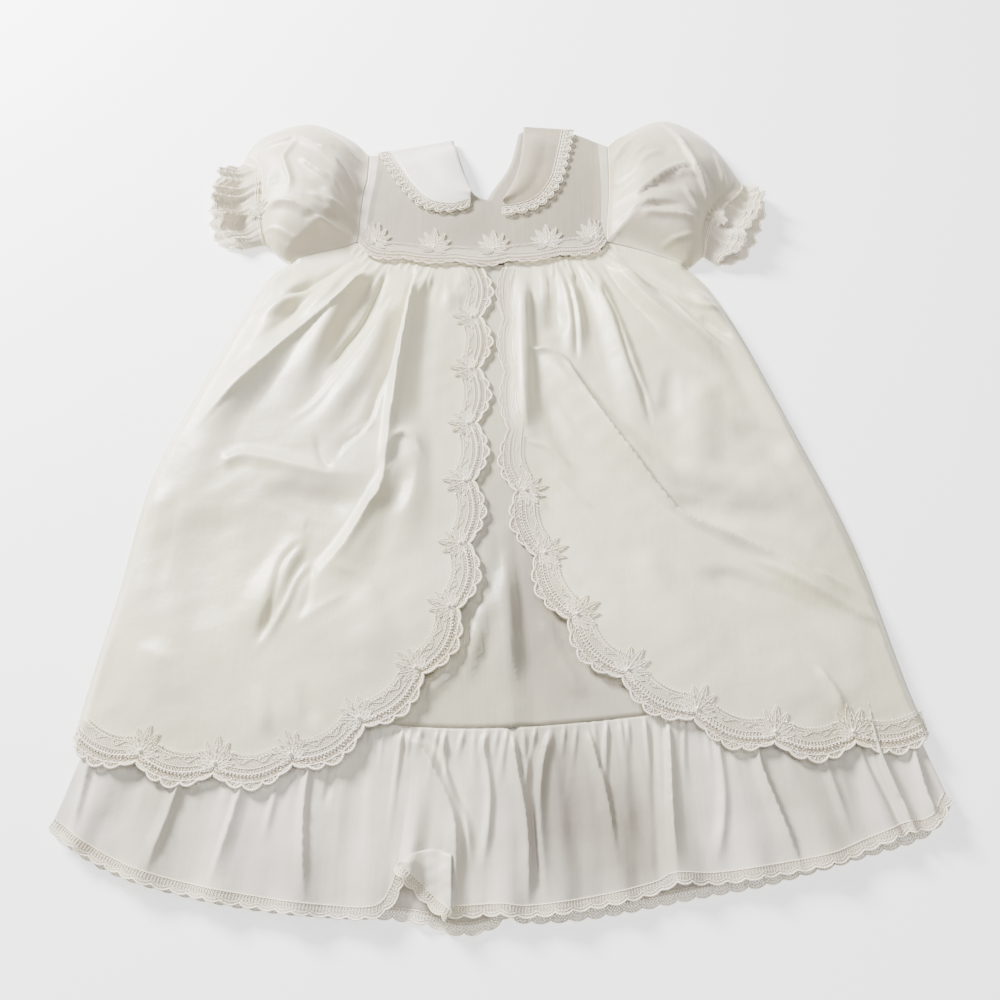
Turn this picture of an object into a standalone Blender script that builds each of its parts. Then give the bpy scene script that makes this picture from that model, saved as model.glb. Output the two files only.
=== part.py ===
# Christening gown laid flat on its back, front side up.
# Sizes are in millimetres in a drawing frame: x to the gown's left-hand side as seen, y towards the
# collar, z up from the surface that it lies on. add_wall turns them into metres about the middle.

import math

import bpy

MM = 0.001

# Middle of the gown's footprint in the drawing frame
MIDDLE_X = 1.66
MIDDLE_Y = 45.56

# Walls and clearances
CLOTH = 1.0
LACE = 1.0
SEAM_GAP = 0.35
WAIST_GAP = 0.5
CUFF_GAP = 0.6
ARM_GAP = 0.6
HEM_GAP = 0.6
LACE_LIFT = 1.4

# Heights of the layers' undersides, from the floor up
BACK_FLOOR = 0.0
BACK_SECOND = 1.35
FRONT_SKIRT = 2.7
FRONT_RUFFLE = 4.3
FRONT_OVER_TOP = 4.6
FRONT_OVER_HEM = 8.6
FRONT_RISE_START = -35.0
FRONT_RISE_END = -105.0
SIDE_DROP = 8.0
SKIRT_RISE = 45.0

# Wide lace: one repeat, its reach onto the cloth and beyond it
REPEAT = 48.0
LACE_ON_CLOTH = 22.0
LEAF_TIP = 34.0
LACE_IN_ROLL = 8.0
SCALLOP_DEPTH = 12.0
SCALLOP_CUSP = 0.12
SCALLOP_ROUND = 0.6
LEAF_NARROW = 5.5
LACE_MIDDLE_ROW = 0.55
LACE_SAMPLES = 4
STRIP_STEP = 12.0

# Right-hand lace where it turns into the front roll: start, run, and share of the scallops that it loses
ROLL_Y = 10.0
ROLL_RUN = 60.0
ROLL_LOSS = 0.55

# Seam between armhole and bodice, then between sleeve and skirt, for each side
ARM_SIDE = {
    "left": [(-111.5, 322), (-110.5, 294), (-112.5, 273), (-113.5, 251), (-114, 226)],
    "right": [(92.5, 333), (90.5, 283), (88.5, 259), (86.5, 240), (86, 226)],
}
ARM_UNDER = {
    "left": [(-114, 226), (-130, 220), (-150, 214), (-167, 207.5)],
    "right": [(86, 226), (107, 220), (130, 211), (150, 201.5)],
}
WAIST = [(-114, 226), (-104, 215.5), (-90, 211), (-52, 207), (-8, 205), (36, 210), (70, 215), (80, 219), (86, 226)]

# Skirt side folds, waist to hem
SIDE = {
    "left": [(-167, 207.5), (-184, 190), (-204, 142), (-222, 90), (-245, 14), (-252, -67), (-259, -130), (-262, -161)],
    "right": [(150, 201.5), (165, 180), (186, 132), (215, 46), (232, -6), (244, -53), (257, -130), (264, -158)],
}

# Cloth edge of each front overskirt, from the hem's side corner round to the waist
FRONT_EDGE = {
    "left": [
        (-262, -161), (-213, -177), (-163, -183), (-117, -175), (-77, -150), (-45, -117), (-27, -74),
        (-22, -23), (-20, 24), (-18.5, 72), (-17.5, 122), (-17, 175), (-16.5, 204.4),
    ],
    "right": [
        (264, -158), (227, -163), (179, -166), (134, -156), (93, -136), (60, -108), (35, -67),
        (19, -20), (10, 24), (7, 60), (5, 100), (4, 150), (3.5, 204.8),
    ],
}
HEM_COLUMNS = 16
FRONT_ROWS = 16

# Underskirt, set in from the side folds
SKIRT_INSET = 19.0
SKIRT_COLUMNS = 22
SKIRT_ROWS = 9
OVER_BACK_COLUMNS = 24
OVER_BACK_ROWS = 6

# Hem of the overskirt's back, side to side
BACK_HEM = [(-262, -161), (-213, -177), (-163, -184), (-80, -187), (0, -187), (90, -183), (179, -169), (264, -158)]

# Ruffle: seam under the skirt's hem, and free hem of its front and back halves
RUFFLE_SEAM = [(-238, -108), (-160, -140), (-77, -154), (0, -157), (102, -148), (180, -133), (241, -104)]
RUFFLE_HEM = {
    "front": [
        (-262, -211), (-229, -230), (-190, -243), (-141, -252), (-96, -257), (-64, -251), (-45, -244), (-25, -255),
        (0, -258), (56, -252), (88, -243), (114, -238), (155, -234), (213, -219), (265, -196),
    ],
    "back": [
        (-262, -213), (-229, -232), (-190, -244), (-141, -253), (-96, -257), (-64, -257), (-34, -264),
        (0, -262), (56, -256), (114, -242), (155, -237), (214, -221), (266, -198),
    ],
}
RUFFLE_GATHERS = {"front": 60, "back": 40}
RUFFLE_ROWS = {"front": [0, 0.12, 0.35, 0.66, 1], "back": [0, 0.66, 1]}
GATHER_HEIGHT = 1.5
HEM_WAVE = {"front": 6.0, "back": 2.4}
HEM_LACE = 6.0
HEM_SCALLOP = 1.5
RUFFLE_THICK_SEAM = 1.25
RUFFLE_THICK = 1.1
RUFFLE_DROP = 0.67

# Large waves of the ruffle's hem: place across its width from 0 to 1, half width, height share
RUFFLE_WAVES = [
    (0.035, 0.022, 0.7), (0.11, 0.035, 0.9), (0.19, 0.03, 0.8), (0.27, 0.032, 1.0), (0.345, 0.028, 0.6),
    (0.41, 0.022, 1.5), (0.465, 0.02, 1.0), (0.52, 0.022, 0.8), (0.575, 0.024, 0.9), (0.635, 0.022, 0.7),
    (0.7, 0.028, 1.1), (0.775, 0.026, 0.7), (0.85, 0.03, 0.9), (0.92, 0.024, 0.8), (0.975, 0.018, 0.6),
]

# Folds: start, middle and end in plan, half width at start and end, height, lean
# A lean over 0 makes the side on the left of the fold's run steeper, under 0 the other side.
FOLDS = {
    "overskirt_left": [
        ((-108, 211), (-158, 134), (-213, 50), 8, 22, 7.0, 0.0),
        ((-96, 203), (-126, 155), (-164, 52), 9, 26, 9.0, 0.2),
        ((-80, 165), (-101, 106), (-147, 30), 8, 20, 5.0, 0.0),
        ((-64, 203), (-76, 100), (-80, 5), 8, 18, 8.0, -0.5),
        ((-80, 15), (-98, -29), (-132, -82), 14, 22, 5.0, -0.4),
        ((-37, 203), (-38, 180), (-40, 150), 6, 10, 3.5, 0.0),
        ((-134, -30), (-146, -66), (-166, -108), 13, 18, 4.0, 0.3),
        ((-150, 205), (-186, 120), (-228, -10), 10, 26, 5.0, 0.0),
        ((-60, 60), (-62, 0), (-72, -60), 12, 22, 3.5, 0.0),
    ],
    "overskirt_right": [
        ((18, 194), (19, 110), (21, 30), 8, 13, 8.0, 0.2),
        ((47, 206), (55, 160), (58, 100), 7, 15, 6.0, 0.0),
        ((70, 208), (92, 125), (108, 40), 8, 18, 6.0, 0.3),
        ((84, 214), (125, 152), (182, 95), 8, 20, 8.0, 0.0),
        ((104, 214), (140, 178), (176, 142), 7, 15, 5.0, 0.0),
        ((35, 117), (80, 50), (150, -18), 11, 22, 6.5, 0.2),
        ((145, -14), (190, -45), (230, -82), 16, 22, 5.0, 0.2),
        ((140, 200), (190, 100), (232, -20), 10, 26, 5.0, 0.0),
        ((120, 20), (165, 8), (215, 0), 14, 22, 3.5, 0.0),
    ],
    "skirt_front": [
        ((3, -48), (4, -92), (7, -142), 9, 16, 6.0, 0.0),
        ((-4, -70), (-14, -100), (-30, -142), 6, 12, 3.5, 0.2),
        ((26, -85), (38, -112), (54, -142), 6, 12, 3.0, 0.0),
    ],
    "sleeve_left": [
        ((-134, 346), (-120, 300), (-112, 272), 9, 13, 6.0, 0.4),
        ((-168, 352), (-176, 322), (-176, 268), 9, 12, 5.0, -0.4),
        ((-192, 266), (-160, 254), (-132, 236), 8, 12, 5.0, 0.0),
        ((-196, 300), (-186, 318), (-170, 334), 6, 10, 4.0, 0.0),
    ],
    "sleeve_right": [
        ((136, 352), (152, 312), (170, 262), 9, 12, 7.0, -0.4),
        ((94, 300), (120, 300), (148, 308), 6, 12, 5.0, 0.0),
        ((92, 262), (118, 262), (150, 250), 6, 12, 5.0, 0.0),
        ((168, 345), (178, 320), (190, 296), 6, 10, 4.0, 0.0),
    ],
}
FOLD_START = 0.12
FOLD_GROW = 0.35
FOLD_FADE = 0.4
WAIST_GATHER = 2.4
WAIST_GATHER_REACH = 55.0

# Folds and gathers lie pressed under the waist lace: share of their height there, start and run
PRESSED_FOLD = (0.1, 10.0, 28.0)
PRESSED_GATHER = (0.35, 9.0, 18.0)

# Sleeves: upper and lower outline from armhole to cuff, end seam, and free edge of the cuff frill
SLEEVE_TOP = {
    "left": [(-111.5, 322), (-130, 342), (-166, 357), (-203, 343), (-215, 327), (-219, 312)],
    "right": [(92.5, 333), (106, 346), (141, 362), (172, 345), (190, 318), (203, 290)],
}
SLEEVE_LOW = {
    "left": [(-167, 207.5), (-178, 215), (-185, 222), (-190, 226)],
    "right": [(150, 201.5), (155, 206), (159, 210), (163, 214)],
}
SLEEVE_END = {
    "left": [(-219, 312), (-206, 302), (-199, 284), (-197, 258), (-194, 240), (-190, 226)],
    "right": [(203, 290), (197, 275), (183, 259), (171, 243), (165, 228), (163, 214)],
}
CUFF_EDGE = {
    "left": [(-225, 308), (-236, 299), (-238, 282), (-237, 262), (-233, 242), (-225, 228), (-206, 222)],
    "right": [(207, 288), (218, 268), (213, 250), (205, 230), (192, 211), (172, 206)],
}
SLEEVE_HEIGHT = {"armhole": 11.0, "puff": 18.0, "cuff": 15.0}
SLEEVE_PUFF_END = 0.926
SLEEVE_GATHER_REACH = 0.31
CUFF_HEIGHT = 19.0
CUFF_WAIST = 3.0
SLEEVE_WALL = 1.2
SLEEVE_MID = 3.2
TUBE_TOP_ROUND = 0.55
TUBE_LOW_ROUND = 0.4
TUBE_WALL_RISE = 1.2
TUBE_PULL = 6
SLEEVE_GATHERS = 10
SLEEVE_GATHER_HEIGHT = 1.6
SLEEVE_ROUND = 4 * SLEEVE_GATHERS
SLEEVE_ALONG = 8
CUFF_WAVES = 10
CUFF_WAVE_HEIGHT = 2.2

# Neck and shoulders
NECK = [(-40, 338), (-36, 322), (-30, 298), (-22, 275), (-10, 268), (2, 265), (12, 286), (18, 320), (20.5, 354)]
SHOULDER = {"left": [(-111.5, 322), (-94, 325), (-76, 329), (-40, 338)], "right": [(20.5, 354), (60, 350), (92.5, 333)]}
BODICE_COLUMNS = 16
BODICE_ROWS = [0, 0.3, 0.6, 0.78, 0.85, 0.925, 1]
BACK_COLUMNS = 6
BACK_ROWS = 10
BODICE_Y = (210.0, 335.0)
BODICE_WAIST_Z = 5.0
BODICE_CROWN = 2.5
BODICE_SHOULDER_Z = 2.75
SHOULDER_SLOPE = 24.0
BACK_EDGE = {
    "left": [(-42, 337.5), (-31, 292), (-17, 262), (-14, 206)],
    "right": [(17, 354), (8, 312), (-9, 279), (-12, 262), (-12, 206)],
}

# Collar halves: neck edge and outer edge from centre front to the shoulder, then on to the back
COLLAR = {
    "left": {
        "neck": [(-23.5, 276), (-31, 300), (-40, 338.4)],
        "outer": [(-24, 267), (-40, 262), (-58, 266), (-72, 282), (-82, 299), (-94, 325.4)],
        "back_neck": [(-40, 338.4), (-39, 322), (-36, 306)],
        "back_outer": [(-94, 325.4), (-85, 303), (-68, 289), (-38, 296)],
        "normal": (-0.23, 0.97),
    },
    "right": {
        "neck": [(3, 267), (12, 288), (18, 316), (20.5, 354.6)],
        "outer": [(2, 260), (14, 261), (30, 269), (42, 288), (48, 312), (55, 351.6)],
        "back_neck": [(20.5, 354.6), (20, 336), (17, 318)],
        "back_outer": [(55, 351.6), (50, 326), (38, 306), (19, 308)],
        "normal": (0.03, 1.0),
    },
}
COLLAR_WALL = 1.0
COLLAR_LIFT = 0.9
COLLAR_CROWN = 4.0
COLLAR_CROWN_EDGE = 0.55
COLLAR_CROWN_PEAK = 1.6
COLLAR_CROWN_RUN = 0.25
COLLAR_FRONT = 9
COLLAR_BACK = 4
COLLAR_ACROSS = 5
COLLAR_LACE = 9.0
WRAP_Z = 2.8
WRAP_RADIUS = 1.8
WRAP_STEPS = 3

# Waist lace: rise above the seam, drop below it, height off the floor
WAIST_LACE_UP = 6.0
WAIST_LACE_DOWN = 13.0
WAIST_LACE_SCALLOP = 4.0
WAIST_LACE_REPEATS = 5
WAIST_LACE_SAMPLES = 6
WAIST_LACE_BEND = 2.0
WAIST_LACE_END = 1.5
WAIST_LACE_Z = 9.6

# Colours: base colour, roughness, sheen
FINISH = {
    "satin": ((0.78, 0.76, 0.71, 1), 0.42, 0.3),
    "plain": ((0.68, 0.65, 0.6, 1), 0.6, 0.2),
    "lace": ((0.8, 0.75, 0.69, 1), 0.8, 0.2),
    "organza": ((0.72, 0.7, 0.67, 1), 0.55, 0.3),
}


def clear_scene():
    for item in list(bpy.data.objects):
        bpy.data.objects.remove(item, do_unlink=True)


def finish(kind, name):
    colour, roughness, sheen = FINISH[kind]
    material = bpy.data.materials.new(name)
    material.use_nodes = True
    shader = material.node_tree.nodes["Principled BSDF"]
    shader.inputs["Base Color"].default_value = colour
    shader.inputs["Roughness"].default_value = roughness
    shader.inputs["Sheen Weight"].default_value = sheen
    return material


# Plane curves and small numbers

def smoothstep(value):
    value = min(1.0, max(0.0, value))
    return value * value * (3 - 2 * value)


def lerp(a, b, share):
    return tuple(p + (q - p) * share for p, q in zip(a, b))


def distance(a, b):
    return math.hypot(a[0] - b[0], a[1] - b[1])


def curve(points, steps=12):
    """A smooth plane line through the points, as a dense list."""
    ends = [lerp(points[1], points[0], 2)] + list(points) + [lerp(points[-2], points[-1], 2)]
    line = []
    for a, b, c, d in zip(ends, ends[1:], ends[2:], ends[3:]):
        for step in range(steps):
            t = step / steps
            line.append(tuple(
                0.5 * (2 * q + (r - p) * t + (2 * p - 5 * q + 4 * r - s) * t * t + (3 * q - p - 3 * r + s) * t ** 3)
                for p, q, r, s in zip(a, b, c, d)
            ))
    return line + [tuple(points[-1])]


def length(line):
    return sum(distance(a, b) for a, b in zip(line, line[1:]))


def at(line, along):
    """The point of a dense line that lies a length along it."""
    for a, b in zip(line, line[1:]):
        span = distance(a, b)
        if along <= span and span > 0:
            return lerp(a, b, max(0.0, along) / span)
        along -= span
    return tuple(line[-1])


def at_x(line, x):
    """The point of a line, which runs only one way in x, at an x; its end where x lies past it."""
    for a, b in zip(line, line[1:]):
        if min(a[0], b[0]) <= x <= max(a[0], b[0]) and a[0] != b[0]:
            return lerp(a, b, (x - a[0]) / (b[0] - a[0]))
    return min((line[0], line[-1]), key=lambda end: abs(end[0] - x))


def spread(line, count):
    """count + 1 points at even spacing."""
    total = length(line)
    return [at(line, total * k / count) for k in range(count + 1)]


def moved(line, dx, dy):
    return [(x + dx, y + dy) for x, y in line]


def beside(points, offset):
    """The points of a plane line moved to its left by the offset."""
    out = []
    for k, point in enumerate(points):
        before = points[max(0, k - 1)]
        after = points[min(len(points) - 1, k + 1)]
        run = distance(before, after)
        nx, ny = -(after[1] - before[1]) / run, (after[0] - before[0]) / run
        out.append((point[0] + nx * offset, point[1] + ny * offset))
    return out


def nearest(point, line):
    """Distance from a plane line, share of the way along it and side, over 0 on its left."""
    best = (1e9, 0, 0)
    for k, (a, b) in enumerate(zip(line, line[1:])):
        dx, dy = b[0] - a[0], b[1] - a[1]
        px, py = point[0] - a[0], point[1] - a[1]
        run = dx * dx + dy * dy
        share = min(1.0, max(0.0, (px * dx + py * dy) / run)) if run else 0.0
        gap = math.hypot(px - share * dx, py - share * dy)
        if gap < best[0]:
            best = (gap, (k + share) / (len(line) - 1), dx * py - dy * px)
    return best


# Folds

def fold_height(name, point):
    """Sum of the soft ridges that a panel's table lists, at a point of its plan."""
    total = 0.0
    for start, middle, end, narrow, wide, height, lean in FOLDS[name]:
        line = FOLD_LINES[(start, end)]
        gap, share, side = nearest(point, line)
        half = narrow + (wide - narrow) * share
        half *= 1 - lean if side > 0 else 1 + lean
        if gap < half:
            swell = smoothstep((share + FOLD_START) / FOLD_GROW) * smoothstep((1 - share) / FOLD_FADE)
            total += height * swell * 0.5 * (1 + math.cos(math.pi * gap / half))
    return total


def fold_lines():
    lines = {}
    for table in FOLDS.values():
        for row in table:
            lines[(row[0], row[2])] = curve(row[:3], 4)
    return lines


FOLD_LINES = fold_lines()


# Solids

def add_wall(name, outer, inner, faces, material):
    """One closed wall: an outer skin, an inner skin with the same faces, and the rim that joins them."""
    count = len(outer)
    triangles = []
    for face in faces:
        for k in range(1, len(face) - 1):
            triangles.append((face[0], face[k], face[k + 1]))
    edges = set()
    for a, b, c in triangles:
        edges.update([(a, b), (b, c), (c, a)])
    solid = list(triangles)
    solid += [(c + count, b + count, a + count) for a, b, c in triangles]
    for a, b in sorted(edges):
        if (b, a) not in edges:
            solid += [(b, a, a + count), (b, a + count, b + count)]
    places = [((x - MIDDLE_X) * MM, (y - MIDDLE_Y) * MM, z * MM) for x, y, z in outer + inner]
    if signed_volume(places, solid) < 0:
        solid = [(c, b, a) for a, b, c in solid]
    mesh = bpy.data.meshes.new(name)
    mesh.from_pydata(places, [], solid)
    mesh.materials.append(material)
    mesh.shade_smooth()
    mesh.set_sharp_from_angle(angle=math.radians(40))
    made = bpy.data.objects.new(name, mesh)
    bpy.context.collection.objects.link(made)
    return made


def signed_volume(places, triangles):
    total = 0.0
    for a, b, c in triangles:
        (ax, ay, az), (bx, by, bz), (cx, cy, cz) = places[a], places[b], places[c]
        total += ax * (by * cz - bz * cy) + ay * (bz * cx - bx * cz) + az * (bx * cy - by * cx)
    return total


def grid_faces(rows, columns, start=0, ring=False):
    """Faces of a grid of points listed row by row."""
    faces = []
    for r in range(rows - 1):
        for c in range(columns if ring else columns - 1):
            d = (c + 1) % columns
            here = start + r * columns
            faces.append((here + c, here + d, here + columns + d, here + columns + c))
    return faces


def panel(name, rows, low, thick, material):
    """A wall over a grid of plan points, with its underside at the height that low gives."""
    flat = [point for row in rows for point in row]
    floor = [low(point) for point in flat]
    outer = [(x, y, z + thick * slope_factor(low, (x, y), z)) for (x, y), z in zip(flat, floor)]
    inner = [(x, y, z) for (x, y), z in zip(flat, floor)]
    return add_wall(name, outer, inner, grid_faces(len(rows), len(rows[0])), material)


def slope_factor(low, point, here):
    """How much thicker a sloping wall is when it is measured straight up."""
    step = 3.0
    rise_x = (low((point[0] + step, point[1])) - here) / step
    rise_y = (low((point[0], point[1] + step)) - here) / step
    return min(1.5, math.sqrt(1 + rise_x * rise_x + rise_y * rise_y))


def ruled(first, second, shares):
    """Rows of plan points between two lines that have as many points."""
    return [[lerp(a, b, share) for a, b in zip(first, second)] for share in shares]


def patch(bottom, top, left, right):
    """Rows of plan points that fill the room between four lines."""
    rows = []
    for j, (a, b) in enumerate(zip(left, right)):
        v = j / (len(left) - 1)
        row = []
        for i, (c, d) in enumerate(zip(bottom, top)):
            u = i / (len(bottom) - 1)
            across = lerp(a, b, u)
            along = lerp(c, d, v)
            corners = lerp(lerp(bottom[0], bottom[-1], u), lerp(top[0], top[-1], u), v)
            row.append((across[0] + along[0] - corners[0], across[1] + along[1] - corners[1]))
        rows.append(row)
    return rows


# Bodice and collar

def bodice_height(point):
    """Underside of the bodice's front."""
    low_y, high_y = BODICE_Y
    share = min(1.0, max(0.0, (point[1] - low_y) / (high_y - low_y)))
    crown = BODICE_WAIST_Z + BODICE_CROWN * math.sin(math.pi * share)
    gap = min(nearest(point, curve(SHOULDER[side], 4))[0] for side in SHOULDER)
    return BODICE_SHOULDER_Z + (crown - BODICE_SHOULDER_Z) * smoothstep(gap / SHOULDER_SLOPE)


def bodice_front(material):
    low = spread(moved(curve(WAIST), 0, WAIST_GAP), BODICE_COLUMNS)
    top_line = curve(SHOULDER["left"])[:-1] + curve(NECK)[:-1] + curve(SHOULDER["right"])
    first, last = top_line[0][0], top_line[-1][0]
    top = [at_x(top_line, first + (last - first) * k / BODICE_COLUMNS) for k in range(BODICE_COLUMNS + 1)]
    sides = {side: curve(ARM_SIDE[side])[::-1] for side in ARM_SIDE}
    rows = []
    for share in BODICE_ROWS:
        row = [lerp(a, b, share) for a, b in zip(low, top)]
        left = at(sides["left"], length(sides["left"]) * share)
        right = at(sides["right"], length(sides["right"]) * share)
        row[0] = (left[0] + ARM_GAP, max(left[1], low[0][1]))
        row[-1] = (right[0] - ARM_GAP, max(right[1], low[-1][1]))
        rows.append(row)
    panel("bodice_front", rows, bodice_height, CLOTH, material)


def bodice_back(side, material):
    """Flat half of the back, from its armhole to the edge of the open back."""
    sign = 1 if side == "left" else -1
    edge = spread(curve(BACK_EDGE[side]), BACK_ROWS)
    arm = moved(spread(curve(ARM_SIDE[side]), BACK_ROWS), sign * ARM_GAP, -SEAM_GAP)
    shoulder = curve(SHOULDER[side])[::sign]
    waist = [p for p in curve(WAIST)[::sign] if sign * p[0] < sign * edge[-1][0]]
    waist.append(at_x(curve(WAIST), edge[-1][0]))
    top = moved(spread(shoulder, BACK_COLUMNS), 0, -SEAM_GAP)
    low = moved(spread(waist, BACK_COLUMNS), 0, WAIST_GAP)
    arm[0], arm[-1] = top[0], low[0]
    edge[0], edge[-1] = top[-1], low[-1]
    rows = patch(top, low, arm, edge)
    panel("bodice_back_" + side, rows, lambda point: BACK_SECOND, CLOTH, material)


def collar_stations(side, extra):
    """Plan and height of the collar's rows, centre front, over the shoulder, to centre back.

    Each row is a list of (outside, inside) points, from the neck edge to the outer edge, or at the
    distances beyond the outer edge that extra gives.
    """
    shape = COLLAR[side]
    neck = spread(curve(shape["neck"]), COLLAR_FRONT)
    outer = spread(curve(shape["outer"]), COLLAR_FRONT)
    back_neck = spread(curve(shape["back_neck"]), COLLAR_BACK)
    back_outer = spread(curve(shape["back_outer"]), COLLAR_BACK)
    nx, ny = shape["normal"]
    rows = []
    for k, (a, b) in enumerate(zip(neck, outer)):
        rows.append([(point, crown, 0.0) for point, crown in across(a, b, extra, k / COLLAR_FRONT)])
    for step in range(1, WRAP_STEPS + 1):
        turn = math.pi * step / (WRAP_STEPS + 1)
        rows.append([(point, 0.0, turn) for point, crown in across(neck[-1], outer[-1], extra, 1)])
    for a, b in zip(back_neck, back_outer):
        rows.append([(point, 0.0, math.pi) for point, crown in across(a, b, extra, 1)])
    return [[collar_point(point, crown, turn, nx, ny) for point, crown, turn in row] for row in rows]


def across(neck, outer, extra, share):
    """Points and crowns over a collar row: on the collar, or over its lace where extra is given."""
    width = distance(neck, outer)
    if extra:
        return [(lerp(neck, outer, (width + reach) / width), 0.0) for reach in extra]
    rise = smoothstep((1 - share) / COLLAR_CROWN_RUN)
    out = []
    for k in range(COLLAR_ACROSS):
        v = k / (COLLAR_ACROSS - 1)
        swell = (1 - COLLAR_CROWN_EDGE) * math.sin(math.pi * min(1, v * COLLAR_CROWN_PEAK))
        crown = COLLAR_CROWN * rise * (COLLAR_CROWN_EDGE + swell) * (1 - v ** 3)
        out.append((lerp(neck, outer, v), crown))
    return out


def collar_point(point, crown, turn, nx, ny):
    """Outside and inside of the collar's wall where its cross-section has turned so far."""
    if turn == 0.0:
        under = max(bodice_height(point) + CLOTH + COLLAR_LIFT, WRAP_Z + WRAP_RADIUS) + crown
        return (point[0], point[1], under + COLLAR_WALL), (point[0], point[1], under)
    pair = []
    for radius in (WRAP_RADIUS + COLLAR_WALL, WRAP_RADIUS):
        out = radius * math.sin(turn)
        z = max(0.0, WRAP_Z + radius * math.cos(turn))
        pair.append((point[0] + nx * out, point[1] + ny * out, z))
    return tuple(pair)


def collar(side, materials):
    for name, extra, finish_name in (("collar_", None, "satin"), ("collar_lace_", (SEAM_GAP, COLLAR_LACE), "lace")):
        rows = collar_stations(side, extra)
        outer = [pair[0] for row in rows for pair in row]
        inner = [pair[1] for row in rows for pair in row]
        add_wall(name + side, outer, inner, grid_faces(len(rows), len(rows[0])), materials[finish_name])


# Sleeves and cuffs

def sleeve_edge(side):
    """Armhole end of the sleeve: down the bodice's side, then along the top of the skirt."""
    half = SLEEVE_ROUND // 2
    line = curve(ARM_SIDE[side]) + curve(ARM_UNDER[side])[1:]
    return spread(line, half)


def tube_section(upper, height, wall, wave):
    """Outside and inside points round one flattened section, over a line of plan points."""
    mid = SLEEVE_MID
    half = len(upper) - 1
    outside, inside = [], []
    for k in range(2 * half):
        top_side = k <= half
        index = k if top_side else 2 * half - k
        v = index / half
        bulge = math.sin(math.pi * v) ** TUBE_TOP_ROUND if 0 < v < 1 else 0.0
        x, y = upper[index]
        inner_x, inner_y = pulled_in(upper, index, wall)
        if top_side:
            z = mid + (height - mid) * bulge + wave(v) * bulge
            inner_z = mid + (height - wall * TUBE_WALL_RISE - mid) * bulge + wave(v) * bulge
        else:
            z = mid * (1 - bulge ** TUBE_LOW_ROUND)
            inner_z = mid - (mid - wall) * bulge ** TUBE_LOW_ROUND
        outside.append((x, y, z))
        inside.append((inner_x, inner_y, inner_z))
    return outside, inside


def pulled_in(line, index, amount):
    """A point of a section moved in from the ends by an amount that fades towards the middle."""
    total = length(line)
    middle = line[len(line) // 2]
    share = abs(index / (len(line) - 1) - 0.5) * 2
    return lerp(line[index], middle, amount * share ** TUBE_PULL / (total / 2))


def sleeve_grid(side):
    """Plan points of the sleeve: a row for each station from armhole to cuff, top to bottom."""
    half = SLEEVE_ROUND // 2
    start = sleeve_edge(side)
    end = spread(curve(SLEEVE_END[side]), half)
    top = spread(curve(SLEEVE_TOP[side]), SLEEVE_ALONG)
    low = spread(curve(SLEEVE_LOW[side]), SLEEVE_ALONG)
    top[0], low[0] = start[0], start[-1]
    top[-1], low[-1] = end[0], end[-1]
    return patch(start, end, top, low)


def sleeve_height(share):
    """Height of the puff at a share of the way from armhole to cuff."""
    swell = math.sin(math.pi * min(1.0, share / SLEEVE_PUFF_END)) ** 0.7 if share < SLEEVE_PUFF_END else 0.0
    ends = SLEEVE_HEIGHT["armhole"] * (1 - share) + SLEEVE_HEIGHT["cuff"] * share
    return ends + SLEEVE_HEIGHT["puff"] * swell


def sleeve_wave(side, line, share):
    """Gathers and folds that a section's height gets, by the share of the way across it."""
    fade = max(1 - share / SLEEVE_GATHER_REACH, 1 - (1 - share) / SLEEVE_GATHER_REACH, 0.0)
    clear_of_ends = smoothstep(min(share, 1 - share) / 0.15)

    def wave(v):
        index = int(round(v * (len(line) - 1)))
        gather = SLEEVE_GATHER_HEIGHT * fade * (1 if index % 2 else -1)
        return gather + clear_of_ends * fold_height("sleeve_" + side, line[index])

    return wave


def sleeve(side, material):
    outer, inner = [], []
    grid = sleeve_grid(side)
    for j, line in enumerate(grid):
        share = j / SLEEVE_ALONG
        outside, inside = tube_section(line, sleeve_height(share), SLEEVE_WALL, sleeve_wave(side, line, share))
        outer += outside
        inner += inside
    faces = grid_faces(len(grid), SLEEVE_ROUND, ring=True)
    add_wall("sleeve_" + side, outer, inner, faces, material)


def cuff_wave(amount):
    def wave(v):
        return amount * math.sin(2 * math.pi * CUFF_WAVES * v)

    return wave


def cuff(side, material):
    """Frilled lace tube past the sleeve's end, with waves that grow outward."""
    half = SLEEVE_ROUND // 2
    outer, inner = [], []
    start = spread(curve(SLEEVE_END[side]), half)
    end = spread(curve(CUFF_EDGE[side]), half)
    for j, share in enumerate((0.0, 0.35, 1.0)):
        line = [lerp(a, b, share) for a, b in zip(start, end)]
        if j == 0:
            line = [lerp(a, b, CUFF_GAP / distance(a, b)) for a, b in zip(start, end)]
        start_height = SLEEVE_HEIGHT["cuff"]
        height = start_height + (CUFF_HEIGHT - start_height) * share - CUFF_WAIST * math.sin(math.pi * share)
        amount = CUFF_WAVE_HEIGHT * (0.4 + share)
        outside, inside = tube_section(line, height, LACE, cuff_wave(amount))
        outer += outside
        inner += inside
    add_wall("cuff_lace_" + side, outer, inner, grid_faces(3, SLEEVE_ROUND, ring=True), material)


# Skirts

def over_base(point):
    """Underside of the front overskirt away from its folds and side edges."""
    rise = smoothstep((FRONT_RISE_START - point[1]) / (FRONT_RISE_START - FRONT_RISE_END))
    return FRONT_OVER_TOP + (FRONT_OVER_HEM - FRONT_OVER_TOP) * rise


def edge_samples(side):
    """Points of the overskirt's cloth edge: close together at the hem, wider apart up the front."""
    line = curve(FRONT_EDGE[side])
    total = length(line)
    hem_length = STRIP_STEP * HEM_COLUMNS
    step = (total - hem_length) / FRONT_ROWS
    stops = [STRIP_STEP * k for k in range(HEM_COLUMNS + 1)]
    stops += [hem_length + step * k for k in range(1, FRONT_ROWS + 1)]
    return [at(line, stop) for stop in stops], stops


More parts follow.
